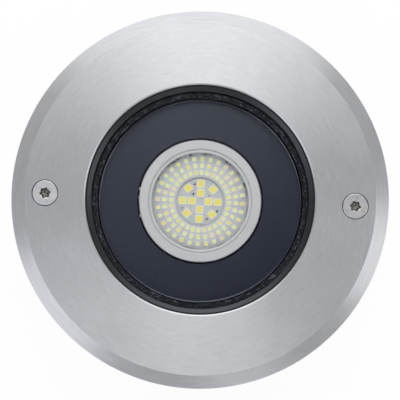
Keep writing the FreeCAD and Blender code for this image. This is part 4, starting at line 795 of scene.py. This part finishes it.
def make_lens():
    """Clear disc with a shallow groove and a rounded rim that stands up inside the ring."""
    half_rim = LENS_RIM_WIDTH / 2
    half_groove = (LENS_RIM_RADIUS - LENS_GROOVE_RADIUS) / 2
    rim = arc((LENS_RIM_RADIUS + half_rim, LENS.top), half_rim, LENS_RIM_HEIGHT, 0, 180, 8)
    groove = arc((LENS_GROOVE_RADIUS + half_groove, LENS.top), half_groove, 0.14, 0, -180)
    mesh = spun([(0, LENS.bottom), (LENS.radius, LENS.bottom), (LENS.radius, LENS.top),
                 *rim, *groove[1:], (0, LENS.top)])
    finish_piece(mesh, "lens_rimmed", "lamp_lens", 40)


def make_led_board():
    """The pale board with a broken edge."""
    mesh = spun([(0, BOARD.bottom), (BOARD.radius, BOARD.bottom), (BOARD.radius, BOARD.top - 0.1),
                 (BOARD.radius - 0.1, BOARD.top), (0, BOARD.top)], BOARD_STEPS)
    finish_piece(mesh, "board_edged", "led_board", 50)


def make_centre_board():
    """The middle board, with the small parts that are soldered to it."""
    radius = CENTRE_BOARD.radius
    top = CENTRE_BOARD.top
    mesh = spun([(0, CENTRE_BOARD.bottom), (radius, CENTRE_BOARD.bottom), (radius, top - 0.15),
                 (radius - 0.15, top), (0, top)], BOARD_STEPS)
    middle = top + SMALL_PART_SIZE[Z] / 2
    part = mesh.faces.layers.float.new("part")
    for x, y, turn, darkness in SMALL_PARTS:
        made = add_block(mesh, SMALL_PART_SIZE)
        place = Matrix.Translation((x * MM, y * MM, middle * MM))
        bmesh.ops.transform(mesh, verts=made, matrix=place @ Matrix.Rotation(math.radians(turn), 4, "Z"))
        for face in {face for vert in made for face in vert.link_faces}:
            face[part] = darkness
    finish_piece(mesh, "centre_board_populated", "led_centre_board", 50)


def add_chip(mesh, place, size, inset, warmth_of_chip):
    """One chip: a block with a slightly sunk yellow window in its top."""
    window = mesh.faces.layers.float["window"]
    warmth = mesh.faces.layers.float["warmth"]
    made = add_block(mesh, size)
    faces = {face for vert in made for face in vert.link_faces}
    top = max(faces, key=lambda face: face.calc_center_median().z)
    border = bmesh.ops.inset_individual(mesh, faces=[top], thickness=inset * MM,
                                        depth=-CHIP_WINDOW_DEPTH * MM)["faces"]
    faces.update(border)
    bmesh.ops.transform(mesh, verts=list({vert for face in faces for vert in face.verts}), matrix=place)
    for face in faces:
        face[window] = 1.0 if face == top else 0.0
        face[warmth] = warmth_of_chip


def make_chips(name, node, rings, length, width, inset, least_warmth, spread):
    """Chips in rings. Most have nearly the least warmth, and a few are up to spread warmer."""
    seat = Turned(node)
    height = seat.top - seat.bottom
    mesh = bmesh.new()
    mesh.faces.layers.float.new("window")
    mesh.faces.layers.float.new("warmth")
    number = 0
    for reach, count in rings:
        for index in range(count):
            place = turned_place(LAMP_TURN + FULL_TURN * index / count, reach, seat.bottom + height / 2)
            warmth = least_warmth + spread * (number * 7 % 11 / 10) ** 2.5
            add_chip(mesh, place, (length, width, height), inset, warmth)
            number += 1
    finish_piece(mesh, name, node, 30)


def make_large_chips():
    """The square chips of the middle board."""
    make_chips("chips_large_windowed", "led_chips_large", LARGE_CHIP_RINGS,
               LARGE_CHIP_SIDE, LARGE_CHIP_SIDE, inset=0.36, least_warmth=0.44, spread=0.30)


def make_small_chips():
    """The oblong chips round the middle board."""
    make_chips("chips_small_windowed", "led_chips_small", SMALL_CHIP_RINGS,
               SMALL_CHIP_LENGTH, SMALL_CHIP_WIDTH, inset=0.24, least_warmth=0.04, spread=0.9)


# ---------------------------------------------------------------- gimbal and pot

def make_plate():
    """The plate with a close-fitting hole round the lamp."""
    mesh = cad_copy("gimbal_plate")
    for vert in mesh.verts:
        reach = math.hypot(vert.co.x, vert.co.y)
        if reach < (PLATE.hole + 0.05) * MM:
            vert.co.x *= PLATE_HOLE_RADIUS * MM / reach
            vert.co.y *= PLATE_HOLE_RADIUS * MM / reach
    soften(mesh, EDGES["gimbal_plate"])
    finish_piece(mesh, "gimbal_plate_softened", "gimbal_plate")


def make_plate_rim():
    """The fine raised line along the plate's edge."""
    edge = PLATE.radius
    top = PLATE.top
    mesh = spun([(edge - 0.6, top - 0.1), (edge - 0.04, top - 0.1), (edge - 0.02, top + 0.1),
                 (edge - 0.08, top + 0.18), (edge - 0.15, top + 0.18), (edge - 0.6, top + 0.01)])
    finish_piece(mesh, "plate_rim", "gimbal_plate", 40, instead=False)


def make_washers():
    """Friction washers with rounded edges, a hair clear of the ears that turn on them."""
    mesh = cad_copy("pivot_washers")
    rubbing = min(abs(vert.co.x) for vert in mesh.verts)
    for vert in mesh.verts:
        if abs(vert.co.x) < rubbing + 0.01 * MM:
            vert.co.x += math.copysign(WASHER_GAP * MM, vert.co.x)
    soften(mesh, EDGES["pivot_washers"], 2)
    finish_piece(mesh, "pivot_washers_softened", "pivot_washers")


def soften_the_rest():
    """Puts copies with rounded edges in place of the CAD nodes that no finer piece stands for."""
    for node in frame["nodes"]:
        if node not in REBUILT:
            mesh = cad_copy(node)
            soften(mesh, EDGES.get(node, USUAL_EDGE), 2)
            finish_piece(mesh, node + "_softened", node)


# ---------------------------------------------------------------- studio and camera

def make_floor():
    """Pale floor that looks white and takes soft shadows."""
    mesh = bmesh.new()
    bmesh.ops.create_grid(mesh, x_segments=1, y_segments=1, size=FLOOR_REACH)
    floor = add_object("floor", mesh_data("floor", mesh))
    pale = Finish("floor_pale", roughness=0.9)
    pale.set("Base Color", pale.tint((0.86, 0.86, 0.86), pale.noise(40.0), 0.01))
    seen = pale.ray("Is Camera Ray") + pale.ray("Is Glossy Ray") + pale.ray("Is Transmission Ray")
    white_share = 0.85
    glow = pale.node("ShaderNodeEmission", None, {"Color": (1, 1, 1, 1), "Strength": 1.08})
    pale.show(pale.blend(seen * white_share, pale.shader(), glow))
    floor.data.materials.append(pale.material)


def make_dome():
    """Soft light from all round, brighter high up, with a dark patch overhead that keeps the upward
    faces deep in tone. The camera sees it white, and so do mirroring surfaces near the horizon."""
    world = bpy.data.worlds.new("studio")
    bpy.context.scene.world = world
    world.use_nodes = True
    dome = Nodes(world.node_tree)
    toward = dome.node("ShaderNodeTexCoord", out="Generated")
    height = dome.part(Z, toward)
    patch = dome.node("ShaderNodeVectorMath", {"operation": "DOT_PRODUCT"},
                      {0: toward, 1: (0.12, -0.12, 0.985)}, out="Value")
    brighter = height.faded(0.84, 0.95) * 0.21
    darker = patch.faded(0.966, 0.992) * 0.56
    strength = 0.39 + brighter - darker
    soft = dome.node("ShaderNodeBackground", None, {"Color": (0.95, 0.97, 1.0, 1), "Strength": strength})
    white = dome.node("ShaderNodeBackground", None, {"Color": (1, 1, 1, 1), "Strength": 1.0})
    low = 1 - height.faded(0.30, 0.55)
    seen = dome.ray("Is Camera Ray") + dome.ray("Is Transmission Ray") + dome.ray("Is Glossy Ray") * low
    dome.node("ShaderNodeOutputWorld", None, {"Surface": dome.blend(seen, soft, white)}, out=None)


def add_lamp(name, bearing, elevation, width, height, power, colour=(1, 1, 1)):
    """A soft lamp aimed at the bezel. Bearing is in degrees anticlockwise from +X."""
    light = bpy.data.lights.new(name, "AREA")
    light.shape = "RECTANGLE"
    light.size = width
    light.size_y = height
    light.energy = power
    light.color = colour
    lamp = add_object(name, light)
    across = math.cos(math.radians(elevation)) * LAMP_DISTANCE
    out = Vector((math.cos(math.radians(bearing)) * across, math.sin(math.radians(bearing)) * across,
                  math.sin(math.radians(elevation)) * LAMP_DISTANCE))
    lamp.location = AIM + out
    lamp.rotation_euler = (-out).to_track_quat("-Z", "Y").to_euler()


def make_lamps():
    """The studio's lamps, named for where they stand in the picture."""
    add_lamp("top_high", 93, 67, 0.60, 0.66, 2.3, (1.0, 0.99, 0.97))
    add_lamp("top_low", 94, 49, 1.50, 0.46, 2.5)
    add_lamp("right_low", -13, 49, 0.50, 0.55, 1.2)
    add_lamp("left_low", 217, 49, 0.62, 0.55, 1.3, (0.96, 0.98, 1.0))
    add_lamp("bottom_high", -86, 73, 0.40, 0.20, 0.35, (0.97, 0.98, 1.0))
    add_lamp("bottom_low", -73, 48, 0.40, 0.25, 0.30)


def make_camera():
    """Looks down on the bezel from a little off its axis, as in the photograph."""
    camera_data = bpy.data.cameras.new("camera")
    camera_data.sensor_width = 36.0
    camera_data.lens = camera_data.sensor_width * CAMERA_DISTANCE / WIDTH_IN_VIEW
    camera_data.shift_x = -0.0003
    camera_data.shift_y = -0.0009
    camera_data.clip_start = 0.05
    camera_data.clip_end = 20.0
    camera = add_object("camera", camera_data)
    camera.matrix_world = (Matrix.Translation(AIM) @ Matrix.Rotation(CAMERA_ROLL, 4, "Z")
                           @ Matrix.Rotation(CAMERA_LEAN, 4, "X")
                           @ Matrix.Translation((0, 0, CAMERA_DISTANCE)))
    bpy.context.scene.camera = camera


paint_cad_nodes()
make_bezel()
make_bezel_screws()
make_gasket()
make_throat_lip()
make_glass()
make_lamp_ring()
make_lens()
make_led_board()
make_centre_board()
make_large_chips()
make_small_chips()
make_plate()
make_plate_rim()
make_washers()
soften_the_rest()
make_floor()
make_dome()
make_lamps()
make_camera()
bpy.context.scene.view_settings.view_transform = "Standard"
